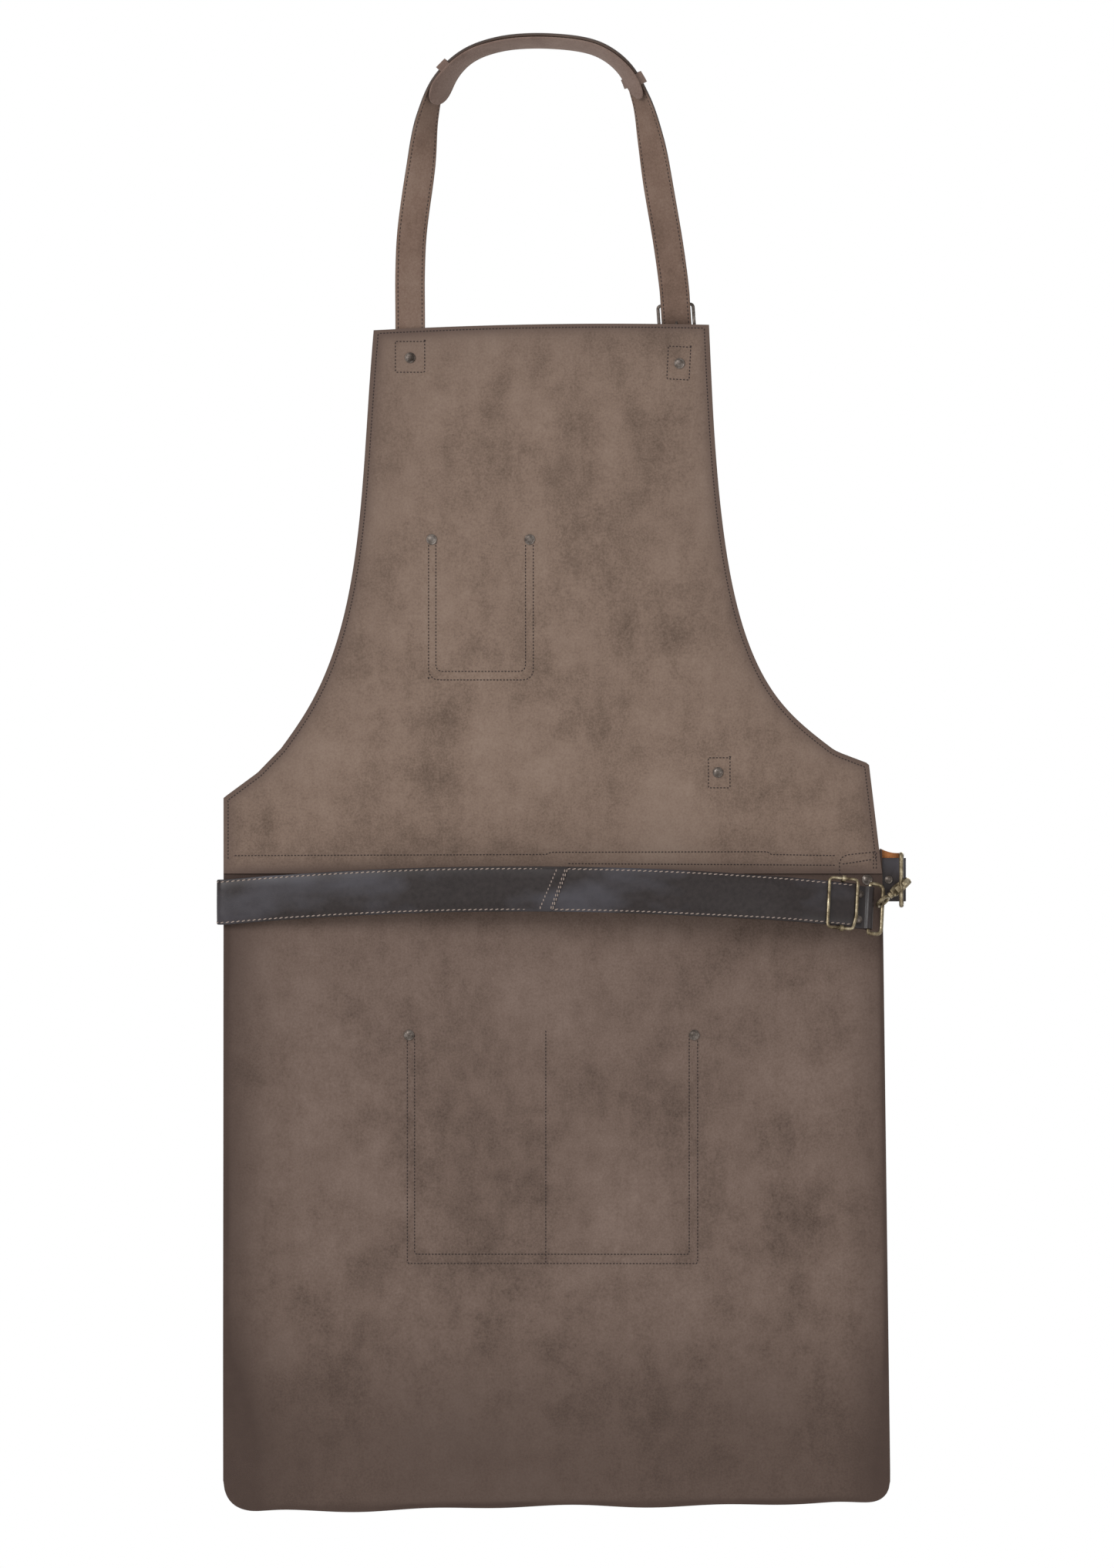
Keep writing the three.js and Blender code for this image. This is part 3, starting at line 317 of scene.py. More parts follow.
finishes = {
    "bibSuede": ("suede", dict(dark=(0.082, 0.056, 0.042), middle=(0.156, 0.109, 0.084),
                               light=(0.2, 0.146, 0.115), edgeTone=(0.088, 0.06, 0.049))),
    # the skirt's edge tone is also the colour of its painted shade below the bib
    "skirtSuede": ("suede", dict(dark=(0.062, 0.042, 0.033), middle=(0.118, 0.082, 0.066),
                                 light=(0.158, 0.114, 0.094), edgeTone=(0.05, 0.033, 0.027))),
    "strapSuede": ("suede", dict(dark=(0.085, 0.054, 0.04), middle=(0.128, 0.083, 0.063),
                                 light=(0.165, 0.115, 0.09), sheen=0.2)),
    "padSuede": ("suede", dict(dark=(0.09, 0.058, 0.047), middle=(0.14, 0.094, 0.077),
                               light=(0.18, 0.128, 0.107), sheen=0.25)),
    "cutEdge": ("grain", dict(dark=(0.03, 0.023, 0.02), light=(0.075, 0.057, 0.049),
                              roughness=0.8, cell=900)),
    "frontHide": ("grain", dict(dark=(0.08, 0.055, 0.042), light=(0.145, 0.102, 0.079),
                                roughness=0.62, cell=700, bump=0.3)),
    "strapFront": ("grain", dict(dark=(0.08, 0.053, 0.04), light=(0.135, 0.092, 0.071),
                                 roughness=0.6, cell=800, bump=0.3)),
    # the belt's sheen tone is a painted highlight colour
    "beltHide": ("belt", dict(dark=(0.0075, 0.0038, 0.0034), light=(0.015, 0.0088, 0.0082),
                              paintedSheenTone=(0.046, 0.043, 0.052))),
    "tanFlesh": ("suede", dict(dark=(0.2, 0.075, 0.025), middle=(0.33, 0.13, 0.045),
                               light=(0.43, 0.2, 0.085))),
    "oldBrass": ("brass", dict(patina=(0.055, 0.038, 0.022), metal=(0.2, 0.16, 0.1),
                               bright=(0.46, 0.4, 0.28))),
    "greyBrass": ("brass", dict(patina=(0.03, 0.023, 0.019), metal=(0.095, 0.078, 0.067),
                                bright=(0.24, 0.21, 0.19), roughness=0.4)),
    "darkThread": ("thread", dict(colour=(0.024, 0.012, 0.009), shade=(0.01, 0.005, 0.004))),
    "paleThread": ("thread", dict(colour=(0.33, 0.26, 0.22), shade=(0.16, 0.12, 0.1))),
}
makers = {"suede": makeSuede, "grain": makeGrain, "belt": makeBeltHide, "brass": makeBrass,
          "thread": makeThread}
finish = {name: makers[kind](name, **values) for name, (kind, values) in finishes.items()}
setStudio()
print("studio and finishes ready")

# shared tools


def smoothStep(t):
    t = np.clip(t, 0, 1)
    return t * t * (3 - 2 * t)


def activate(piece):
    bpy.ops.object.select_all(action='DESELECT')
    piece.select_set(True)
    bpy.context.view_layer.objects.active = piece


def readPoints(piece):
    points = np.empty(len(piece.data.vertices) * 3)
    piece.data.vertices.foreach_get("co", points)
    return points.reshape(-1, 3)


def writePoints(piece, points):
    piece.data.vertices.foreach_set("co", np.ascontiguousarray(points, dtype=np.float64).ravel())
    piece.data.update()


# a grid in which every point goes where place(u, v) says, u and v running from 0 to 1
def gridPiece(name, columns, rows, place):
    bpy.ops.object.select_all(action='DESELECT')
    bpy.ops.mesh.primitive_grid_add(x_subdivisions=columns, y_subdivisions=rows, size=2)
    piece = bpy.context.object
    piece.name = piece.data.name = name
    points = readPoints(piece)
    writePoints(piece, place((points[:, 0] + 1) / 2, (points[:, 1] + 1) / 2))
    return piece


def applyModifier(piece, kind, **values):
    activate(piece)
    modifier = piece.modifiers.new(kind.title(), kind)
    for key, value in values.items():
        setattr(modifier, key, value)
    bpy.ops.object.modifier_apply(modifier=modifier.name)


def tidyShell(piece, close=False):
    activate(piece)
    bpy.ops.object.mode_set(mode='EDIT')
    bpy.ops.mesh.select_all(action='SELECT')
    bpy.ops.mesh.remove_doubles(threshold=0.00002)
    if close:
        bpy.ops.mesh.fill_holes(sides=0)
    bpy.ops.mesh.select_all(action='SELECT')
    bpy.ops.mesh.normals_make_consistent(inside=False)
    bpy.ops.object.mode_set(mode='OBJECT')


# the faces of an open sheet all look one way: towards is -1 for the rear and 1 for the front
def turnFaces(piece, towards):
    activate(piece)
    bpy.ops.object.mode_set(mode='EDIT')
    bpy.ops.mesh.select_all(action='SELECT')
    bpy.ops.mesh.normals_make_consistent(inside=False)
    bpy.ops.object.mode_set(mode='OBJECT')
    if sum(p.normal.y for p in piece.data.polygons) * towards < 0:
        bpy.ops.object.mode_set(mode='EDIT')
        bpy.ops.mesh.flip_normals()
        bpy.ops.object.mode_set(mode='OBJECT')


def smoothShade(piece, degrees):
    activate(piece)
    bpy.ops.object.shade_smooth_by_angle(angle=math.radians(degrees))


def joinPieces(name, pieces):
    bpy.ops.object.select_all(action='DESELECT')
    for piece in pieces:
        piece.select_set(True)
    bpy.context.view_layer.objects.active = pieces[0]
    if len(pieces) > 1:
        bpy.ops.object.join()
    piece = bpy.context.object
    piece.name = piece.data.name = name
    return piece


def settle(piece, body, slotName, *nodes):
    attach(piece, body)
    if nodes:
        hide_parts(*nodes)
    return piece


def setFinishes(piece, *names):
    piece.data.materials.clear()
    for name in names:
        piece.data.materials.append(finish[name])


# sheets of leather: the depth of their folds, and how far round a rivet they lie still
drape = {"skirt": 4.2, "bib": 1.6, "hem": 2.5, "still": 8, "ease": 40}
rivetSpots = []
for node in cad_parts:
    if "pocket_rivet" in node:
        low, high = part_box(node)
        rivetSpots.append(((low.x + high.x) / 2, (low.z + high.z) / 2))


# how far the hanging leather stands off its flat place at (x, z)
def hang(x, z):
    # the skirt's folds deepen below the belt, and its hem has a wave of its own
    low = smoothStep((-0.83 - z) / 0.4)
    skirt = drape["skirt"] * mm * low * (
        0.6 * np.sin(x / 0.071 + 0.7 + z / 0.33) + 0.4 * np.sin(x / 0.038 + 2.3 - z / 0.21))
    hem = drape["hem"] * mm * smoothStep((-1.2 - z) / 0.13) * np.sin(x / 0.055 + 1.2)
    # the bib's folds keep off its straps and its seam
    middle = smoothStep((-0.3 - z) / 0.08) * smoothStep((z + 0.62) / 0.1)
    bib = drape["bib"] * mm * middle * (
        np.sin(x / 0.058 + z / 0.19) + 0.5 * np.sin(x / 0.029 + 1.4 - z / 0.11))
    wave = skirt + hem + bib
    for rivetX, rivetZ in rivetSpots:
        away = np.hypot(x - rivetX, z - rivetZ) - drape["still"] * mm
        wave = wave * smoothStep(away / (drape["ease"] * mm))
    return wave


def bibHang(x, z):
    return hang(x, z) * (1 - smoothStep((-0.66 - z) / 0.05))


def skirtHang(x, z):
    return hang(x, z) * smoothStep((-0.803 - z) / 0.06)


swayOf = {"bib_panel": bibHang, "bib_pocket": bibHang, "skirt_panel": skirtHang, "lower_pocket": skirtHang}


def distanceAlong(path):
    return np.concatenate([[0], np.cumsum(np.linalg.norm(np.diff(path, axis=0), axis=1))])


# one object made of many copies of a shape, each given as its own moved points
def copyShape(name, copies, faces):
    count = len(copies[0])
    mesh = bpy.data.meshes.new(name)
    mesh.from_pydata(np.vstack(copies).tolist(), [],
                     [[i * count + v for v in face] for i in range(len(copies)) for face in faces])
    piece = bpy.data.objects.new(name, mesh)
    bpy.context.collection.objects.link(piece)
    return piece


# an operator-made shape handed over as plain points and faces, for copying
def takeShape(piece):
    points = readPoints(piece)
    faces = [list(p.vertices) for p in piece.data.polygons]
    bpy.data.objects.remove(piece)
    return points, faces


# stitches: one shaped stitch, a short bar with tapered ends, copied along every row of a piece

def shapeStitch():
    bpy.ops.object.select_all(action='DESELECT')
    bpy.ops.mesh.primitive_cylinder_add(vertices=6, radius=0.5, depth=0.5, rotation=(0, math.radians(90), 0))
    stitch = bpy.context.object
    bpy.ops.object.transform_apply(location=True, rotation=True, scale=True)
    for side in (-1, 1):
        bpy.ops.object.mode_set(mode='EDIT')
        bpy.ops.mesh.select_all(action='DESELECT')
        bpy.ops.object.mode_set(mode='OBJECT')
        for face in stitch.data.polygons:
            face.select = face.normal.x * side > 0.9
        bpy.ops.object.mode_set(mode='EDIT')
        bpy.ops.mesh.select_mode(type='FACE')
        bpy.ops.mesh.extrude_region_move(TRANSFORM_OT_translate={"value": (side * 0.25, 0, -0.3)})
        bpy.ops.transform.resize(value=(1, 0.55, 0.4))
        bpy.ops.object.mode_set(mode='OBJECT')
    return takeShape(stitch)


stitchPoints, stitchFaces = shapeStitch()


# rows are (points, outward normals, pitch mm, length mm); lean turns each stitch a little in its row
def sew(name, rows, thread, body, slotName, width=0.75, lean=0.0, sink=0.1):
    stitches = []
    chance = random.Random(name)
    for path, normals, pitch, length in rows:
        path, normals = np.asarray(path, float), np.asarray(normals, float)
        if normals.ndim == 1:
            normals = np.tile(normals, (len(path), 1))
        run = distanceAlong(path)
        count = max(1, int(run[-1] / (pitch * mm)))
        for i in range(count):
            at = (i + 0.5) * run[-1] / count
            near, far = max(0, at - 0.0005), min(run[-1], at + 0.0005)
            ends = [np.array([np.interp(s, run, path[:, k]) for k in range(3)]) for s in (near, far, at)]
            along = (ends[1] - ends[0]) / max(1e-9, np.linalg.norm(ends[1] - ends[0]))
            up = np.array([np.interp(at, run, normals[:, k]) for k in range(3)])
            up -= along * up.dot(along)
            up /= np.linalg.norm(up)
            side = np.cross(up, along)
            turn = lean + chance.uniform(-0.05, 0.05)
            alongTurned = along * math.cos(turn) + side * math.sin(turn)
            sideTurned = side * math.cos(turn) - along * math.sin(turn)
            size = (length * chance.uniform(0.92, 1.05) * mm, width * mm, width * 0.8 * mm)
            shaped = stitchPoints * size
            stitches.append(ends[2] + shaped[:, :1] * alongTurned + shaped[:, 1:2] * sideTurned
                            + (shaped[:, 2:] - sink * mm) * up)
    piece = copyShape(name, stitches, stitchFaces)
    tidyShell(piece)
    smoothShade(piece, 50)
    setFinishes(piece, thread)
    return settle(piece, body, slotName)


# routes: a smooth line through points, with a face direction along it. The line is a centripetal curve

def smoothLine(points, share=24):
    p = np.array(points, float) * mm
    p = np.vstack([2 * p[0] - p[1], p, 2 * p[-1] - p[-2]])
    line = []
    for a, b, c, d in zip(p, p[1:], p[2:], p[3:]):
        t1 = np.linalg.norm(b - a) ** 0.5
        t2 = t1 + np.linalg.norm(c - b) ** 0.5
        t3 = t2 + np.linalg.norm(d - c) ** 0.5
        for t in np.linspace(t1, t2, share, endpoint=False):
            ab = a * (t1 - t) / t1 + b * t / t1
            bc = b * (t2 - t) / (t2 - t1) + c * (t - t1) / (t2 - t1)
            cd = c * (t3 - t) / (t3 - t2) + d * (t - t2) / (t3 - t2)
            abc = ab * (t2 - t) / t2 + bc * t / t2
            bcd = bc * (t3 - t) / (t3 - t1) + cd * (t - t1) / (t3 - t1)
            line.append(abc * (t2 - t) / (t2 - t1) + bcd * (t - t1) / (t2 - t1))
    line.append(p[-2])
    return np.array(line)


def makeRoute(line, faceAt, turnAt):
    run = distanceAlong(line)
    s = np.linspace(0, run[-1], max(200, int(run[-1] / 0.001)))
    centre = np.stack([np.interp(s, run, line[:, k]) for k in range(3)], axis=1)
    along = np.gradient(centre, axis=0)
    along /= np.linalg.norm(along, axis=1, keepdims=True)
    face = faceAt(along)
    face = face - along * np.sum(face * along, axis=1, keepdims=True)
    face /= np.linalg.norm(face, axis=1, keepdims=True)
    turn = turnAt(centre)[:, None]
    face = face * np.cos(turn) - np.cross(face, along) * np.sin(turn)
    return {"s": s, "centre": centre, "along": along, "face": face,
            "across": np.cross(face, along), "length": run[-1]}


# points beside a route: distance along it, offset across it and lift off its face, all in metres
def onRoute(route, s, across, lift):
    return (readRoute(route, "centre", s) + readRoute(route, "across", s) * np.reshape(across, (-1, 1))
            + readRoute(route, "face", s) * np.reshape(lift, (-1, 1)))


def readRoute(route, key, s):
    return np.stack([np.interp(s, route["s"], route[key][:, k]) for k in range(3)], axis=1)


# a leather section, once round: rounded edges and a shallow sewn groove near each edge
def leatherSection(width, thickness, inset, groove, dome=0.0):
    w, t = width / 2, thickness / 2
    g = w - inset
    half = [(-w + 0.1 * t, 0.55 * t), (-w + 0.5 * t, 0.9 * t), (-g - 0.8, t), (-g, t - groove),
            (-g + 0.8, t), (-0.55 * g, t + 0.7 * dome), (-0.2 * g, t + dome)]
    top = half + [(-x, y) for x, y in reversed(half)]
    return [(-w, 0)] + top + [(w, 0)] + [(x, -y) for x, y in reversed(top)]


# a strap with a section along a route. The At functions size, lift, slant and shift it along its length
def strapPiece(name, route, stations, section, scaleAt=None, liftAt=None, slantAt=None, shiftAt=None):
    section = np.array(section) * mm
    stations = np.array(stations, float)
    count, around = len(stations), len(section)
    scale = scaleAt(stations) if scaleAt else np.ones(count)
    lift = liftAt(stations) if liftAt else np.zeros(count)
    slant = slantAt(stations) if slantAt else np.zeros(count)
    shift = shiftAt(stations) if shiftAt else np.zeros(count)

    def place(u, v):
        i = np.rint(u * (count - 1)).astype(int)
        j = np.rint(v * around).astype(int) % around
        w = section[j, 0] * scale[i]
        h = section[j, 1] * np.minimum(1, 0.35 + 0.65 * scale[i])
        return onRoute(route, stations[i] + slant[i] * w, w + shift[i], h + lift[i])

    piece = gridPiece(name, count - 1, around, place)
    tidyShell(piece, close=True)
    return piece


# corners rounded off by the given radii, flat in x and y
def roundCorners(corners, radii, steps):
    outline = []
    count = len(corners)
    for i in range(count):
        before, at, after = (np.array(corners[(i + k) % count], float) for k in (-1, 0, 1))
        a, b = before - at, after - at
        la, lb = np.linalg.norm(a), np.linalg.norm(b)
        half = math.acos(np.clip(np.dot(a, b) / (la * lb), -1, 1)) / 2
        cut = min(radii[i] / math.tan(half), 0.49 * la, 0.49 * lb)
        start, end = at + a / la * cut, at + b / lb * cut
        for t in np.linspace(0, 1, steps):
            outline.append(tuple((1 - t) ** 2 * start + 2 * t * (1 - t) * at + t * t * end))
    return outline


def moveInto(piece, axes):
    piece.data.transform(axes)
    piece.data.update()


# a set of axes as one matrix
def axesFrom(origin, x, y, z):
    axes = Matrix.Identity(4)
    for column, vector in enumerate((x, y, z, origin)):
        for row in range(3):
            axes[row][column] = vector[row]
    return axes


def nodePoints(name):
    return readPoints(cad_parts[name])


# the two end points of each edge of a CAD node
def cadEdges(node):
    mesh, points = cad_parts[node].data, nodePoints(node)
    edges = np.empty(len(mesh.edges) * 2, int)
    mesh.edges.foreach_get("vertices", edges)
    return points[edges[::2]], points[edges[1::2]]


# how low and how high those edges reach on one axis, at each value on another
def spans(ends, values, cutAxis, readAxis):
    a, b = ends
    low, high = [], []
    for value in values:
        da, db = a[:, cutAxis] - value, b[:, cutAxis] - value
        hit = (da * db <= 0) & (np.abs(da - db) > 1e-9)
        share = da[hit] / (da[hit] - db[hit])
        where = a[hit, readAxis] + share * (b[hit, readAxis] - a[hit, readAxis])
        low.append(where.min())
        high.append(where.max())
    return np.array(low), np.array(high)


# a row of values with its bends evened out over a reach of neighbours
def softened(values, reach):
    kernel = np.exp(-0.5 * (np.arange(-3 * reach, 3 * reach + 1) / reach) ** 2)
    padded = np.pad(values, 3 * reach, mode='reflect', reflect_type='odd')
    return np.convolve(padded, kernel / kernel.sum(), mode='valid')


# an open grid becomes leather: its points stay one face, which looks towards -1 or 1 on Y
def makeLeather(piece, thickness, towards, near, far, offset=-1):
    turnFaces(piece, towards)
    setFinishes(piece, near, far, "cutEdge")
    applyModifier(piece, 'SOLIDIFY', thickness=thickness * mm, offset=offset, material_offset=1,
                  material_offset_rim=2)
    smoothShade(piece, 40)


print("tools ready")

# bib and skirt

panels = {"leather": 1.6, "bibRows": 230, "bibColumns": 96, "skirtRows": 190, "skirtColumns": 130,
          "wornEdge": 0.008, "skirtWornEdge": 0.03, "seam": 0.022}


# how much each point takes of its finish's edge tone
def markEdges(piece, amount):
    attribute = piece.data.attributes.new("edge", 'FLOAT', 'POINT')
    attribute.data.foreach_set("value", np.asarray(amount, dtype=np.float32))


# the distance of each point from the outline
def edgeMap(points, outline):
    distance = np.full(len(points), 9.0)
    a, b = outline, np.roll(outline, -1, axis=0)
    for p, q in zip(a, b):
        d = q - p
        t = np.clip(((points - p) @ d) / max(1e-12, d @ d), 0, 1)
        distance = np.minimum(distance, np.linalg.norm(points - (p + t[:, None] * d), axis=1))
    return distance


def makeBib():
    node = "bib_panel"
    low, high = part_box(node)
    ends = cadEdges(node)
    levels = np.linspace(low.z + 0.0002, high.z - 0.0085, panels["bibRows"])
    left, right = spans(ends, levels, 2, 0)
    spread = np.linspace(0, 1, 61)
    topX = left[-1] + spread * (right[-1] - left[-1])
    topZ = spans(ends, np.clip(topX, topX[0] + 0.0006, topX[-1] - 0.0006), 0, 2)[1]
    topZ = np.convolve(np.pad(topZ, 4, mode='reflect', reflect_type='odd'), np.ones(9) / 9, 'valid')
    shoulder = np.searchsorted(levels, low.z + 0.112)
    left[shoulder:] = softened(left[shoulder:], 9)
    right[shoulder:] = softened(right[shoulder:], 9)

    def place(u, v):
        z = levels[0] + v * (levels[-1] - levels[0])
        l, r = np.interp(z, levels, left), np.interp(z, levels, right)
        x = l + u * (r - l)
        z = z + (np.interp(u, spread, topZ) - levels[-1]) * smoothStep((v - 0.8) / 0.2)
        return np.stack([x, low.y + bibHang(x, z), z], axis=1)

    # the leather is darker at its edges and at the top left corner
    piece = gridPiece("bib", panels["bibColumns"], panels["bibRows"] - 1, place)
    points = readPoints(piece)
    outline = np.vstack([np.stack([left, levels], 1), np.stack([topX, topZ], 1)[1:-1],
                         np.stack([right, levels], 1)[::-1]])
    distance = edgeMap(points[:, [0, 2]], outline[::2])
    corner = np.exp(-np.hypot(points[:, 0] - topX[0], points[:, 2] - topZ[0]) / 0.07)
    markEdges(piece, np.clip(0.7 * np.exp(-(distance / panels["wornEdge"]) ** 2)
                             + 0.32 * np.exp(-distance / 0.03) + 0.3 * corner, 0, 1))
    makeLeather(piece, panels["leather"], -1, "bibSuede", "frontHide")
    settle(piece, "apron", "suede", node)
    return piece, levels, left, right, topX, topZ


def makeSkirt():
    node = "skirt_panel"
    low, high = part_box(node)
    edges = cadEdges(node)
    levels = np.linspace(low.z + 0.05, high.z - 0.0002, 60)
    left, right = spans(edges, levels, 2, 0)
    share = 0.5 - 0.5 * np.cos(np.linspace(0, np.pi, panels["skirtColumns"] + 1))

    # the two sides, carried on straight past the round corners of the hem
    def sideAt(z):
        ends = []
        for edge in (left, right):
            slope = (edge[0] - edge[8]) / (levels[0] - levels[8])
            straight = edge[0] + slope * (z - levels[0])
            ends.append(np.where(z < levels[0], straight, np.interp(z, levels, edge)))
        return ends

    hemX = np.linspace(low.x + 0.0001, high.x - 0.0001, 500)
    hemZ = spans(edges, hemX, 0, 2)[0]

    def place(u, v):
        s = np.interp(u, np.linspace(0, 1, len(share)), share)
        z = high.z + (1 - v) * (low.z - high.z)
        for _ in range(3):
            l, r = sideAt(z)
            x = np.clip(l + s * (r - l), hemX[0], hemX[-1])
            z = high.z + (1 - v) * (np.interp(x, hemX, hemZ) - high.z)
        wave = 0.0011 * np.sin(x / 0.021 + 0.6) + 0.0008 * np.sin(x / 0.047 + 2)
        z = z + (1 - v) ** 12 * wave * smoothStep((np.minimum(x - low.x, high.x - x) - 0.02) / 0.04)
        return np.stack([x, low.y + skirtHang(x, z), z], axis=1)

    piece = gridPiece("skirt", panels["skirtColumns"], panels["skirtRows"], place)
    points = readPoints(piece)
    sides = sideAt(levels)
    outline = np.vstack([np.stack([sides[0], levels], 1)[::-1], np.stack([hemX, hemZ], 1)[::6],
                         np.stack([sides[1], levels], 1)])
    distance = edgeMap(points[:, [0, 2]], outline)
    side = np.minimum(points[:, 0] - low.x, high.x - points[:, 0])
    # darker at its edges, with painted shade of the bib below its seam, towards the hem and down the left
    # side
    darkeningAndShade = 0.75 * np.exp(-(distance / 0.004) ** 2) + 0.5 * np.exp(-(side / panels["skirtWornEdge"]) ** 2)
    # painted shade: the skirt is darkened just below the bib's seam, where the bib's shadow falls
    darkeningAndShade += 0.85 * np.exp(-np.maximum(0, high.z - panels["seam"] - points[:, 2]) / 0.02)
    darkeningAndShade += 0.6 * smoothStep((-1.12 - points[:, 2]) / 0.16)
    darkeningAndShade += 0.32 * np.exp(-(points[:, 0] - low.x) / 0.07)
    markEdges(piece, np.clip(darkeningAndShade, 0, 1))
    makeLeather(piece, panels["leather"], -1, "skirtSuede", "frontHide")
    settle(piece, "apron", "dark_suede", node)
    return piece


bib, bibLevels, bibLeftX, bibRightX, bibTopX, bibTopZ = makeBib()
skirt = makeSkirt()
print("bib and skirt ready")

# pockets, sewn to the far side with an open top

pockets = {"room": 4.4, "wall": 1.6, "seamStrip": 8.5, "rise": 26, "divider": 4, "dividerAside": 5}


def makePocket(node, name, rows, columns, divided=False):
    low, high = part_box(node)
    readX = np.linspace(low.x + 0.0001, high.x - 0.0001, 400)
    lowZ = spans(cadEdges(node), readX, 0, 2)[0]
    divider = (low.x + high.x) / 2 - pockets["dividerAside"] * mm

    # the outer face: sewn flat at the seams, and fuller towards the open top
    def faceAt(x, z):
        inset = np.minimum(np.minimum(x - low.x, high.x - x), z - low.z) - pockets["seamStrip"] * mm
        if divided:
            inset = np.minimum(inset, np.abs(x - divider) - pockets["divider"] * mm)
        fullness = 0.35 + 0.65 * smoothStep((z - low.z) / (0.7 * (high.z - low.z)))
        room = pockets["room"] * mm * smoothStep(inset / (pockets["rise"] * mm)) * fullness
        return low.y + pockets["wall"] * mm + room + swayOf[node](x, z)

    def place(u, v):
        x = low.x + (0.5 - 0.5 * np.cos(np.pi * u)) * (high.x - low.x)
        bottom = np.interp(x, readX, lowZ)
        z = bottom + v * (high.z - bottom)
        return np.stack([x, faceAt(x, z), z], axis=1)

    piece = gridPiece(name, columns, rows, place)
    makeLeather(piece, pockets["wall"], 1, "frontHide", "skirtSuede")
    settle(piece, "apron", "suede", node)
    return piece, faceAt, (round(high.x - low.x + 0.004, 3), round(high.z - low.z, 3))


bibPocket, bibPocketFace, flatSize = makePocket("bib_pocket", "bibPocket", 70, 60)
lowerPocket, lowerPocketFace, flatSize = makePocket("lower_pocket", "lowerPocket", 80, 130, divided=True)
print("pockets ready")

# neck strap, its pad and its small leathers

strap = {"width": 27, "thickness": 2.8, "holes": [30, 63, 96], "holeRadius": 2.1, "tip": 16,
         "inset": 2.6, "groove": 0.22, "twist": 72, "twistRun": 152.4}
pad = {"start": 250, "length": 240, "width": 44, "thickness": 3.6, "lift": 5.7, "shift": 6.5,
       "slim": 0.62, "full": 0.9, "ends": 24}
neckPoints = [
    (-128.0, 1.7, -298.5), (-128.0, 1.7, -249.5), (-128.0, -3.0, -203.2), (-126.2, -7.0, -167.6),
    (-118.3, -12.0, -109.2), (-112.2, -17.0, -63.5), (-101.3, -21.0, -31.8), (-79.5, -24.0, -9.1),
    (-48.0, -25.0, 3.0), (-0.7, -25.0, 6.0), (43.0, -24.0, -1.3), (67.2, -22.0, -19.1),
    (81.8, -18.0, -48.3), (90.3, -13.0, -83.8), (97.5, -8.0, -127.0), (106.6, -3.0, -180.3),
    (111.8, -0.7, -219.5), (112.8, 0.3, -233.5), (114.4, 9.0, -256.0), (114.9, 9.3, -264.0),
    (124.1, 9.1, -394.7)]


def faceTheWearer(along):
    return np.tile((0.0, -1.0, 0.0), (len(along), 1))


# the strap lies flat on the bib and twists to stand on edge at the top of the loop
def neckTurn(centre):
    return math.radians(strap["twist"]) * smoothStep(1 + centre[:, 2] / (strap["twistRun"] * mm))


neckRoute = makeRoute(smoothLine(neckPoints), faceTheWearer, neckTurn)


def makeNeckStrap():
    length = neckRoute["length"]
    tip = strap["tip"] * mm
    tipStations = length - tip * (1 - np.linspace(0, 1, 14)[1:] ** 0.8)
    stations = np.concatenate([np.linspace(0, length - tip, 330), tipStations])
    section = leatherSection(strap["width"], strap["thickness"], strap["inset"], strap["groove"])

    def roundTip(s):
        share = np.clip(1 - ((s - length + tip) / tip) ** 2, 0.004, 1)
        return np.where(s > length - tip, np.sqrt(share), 1.0)

    # the rough side, the smooth side and the cut edges each get their own finish
    piece = strapPiece("neckStrap", neckRoute, stations, section, scaleAt=roundTip)
    setFinishes(piece, "strapSuede", "strapFront", "cutEdge")
    route = neckRoute
    centres = np.array([f.center for f in piece.data.polygons])
    nearest = np.array([np.argmin(((route["centre"][::4] - c) ** 2).sum(1)) for c in centres]) * 4
    normals = np.array([f.normal for f in piece.data.polygons])
    facing = np.sum(normals * route["face"][nearest], axis=1)
    flank = np.abs(np.sum((centres - route["centre"][nearest]) * route["across"][nearest], axis=1))
    for face, f, w in zip(piece.data.polygons, facing, flank):
        face.material_index = 2 if w > (strap["width"] / 2 - 0.25) * mm else (0 if f > 0 else 1)

    # the holes for the prong
    drills = []
    for at in strap["holes"]:
        s = length - at * mm
        axis = Vector(readRoute(route, "face", [s])[0])
        bpy.ops.object.select_all(action='DESELECT')
        bpy.ops.mesh.primitive_cylinder_add(vertices=20, radius=strap["holeRadius"] * mm, depth=0.02,
                                            location=onRoute(route, [s], 0, 0)[0],
                                            rotation=axis.to_track_quat('Z', 'Y').to_euler())
        drills.append(bpy.context.object)
    drill = joinPieces("drill", drills)
    applyModifier(piece, 'BOOLEAN', operation='DIFFERENCE', object=drill, solver='EXACT')
    bpy.data.objects.remove(drill)
    smoothShade(piece, 40)
    return settle(piece, "apron", "strap_leather", "neck_strap")


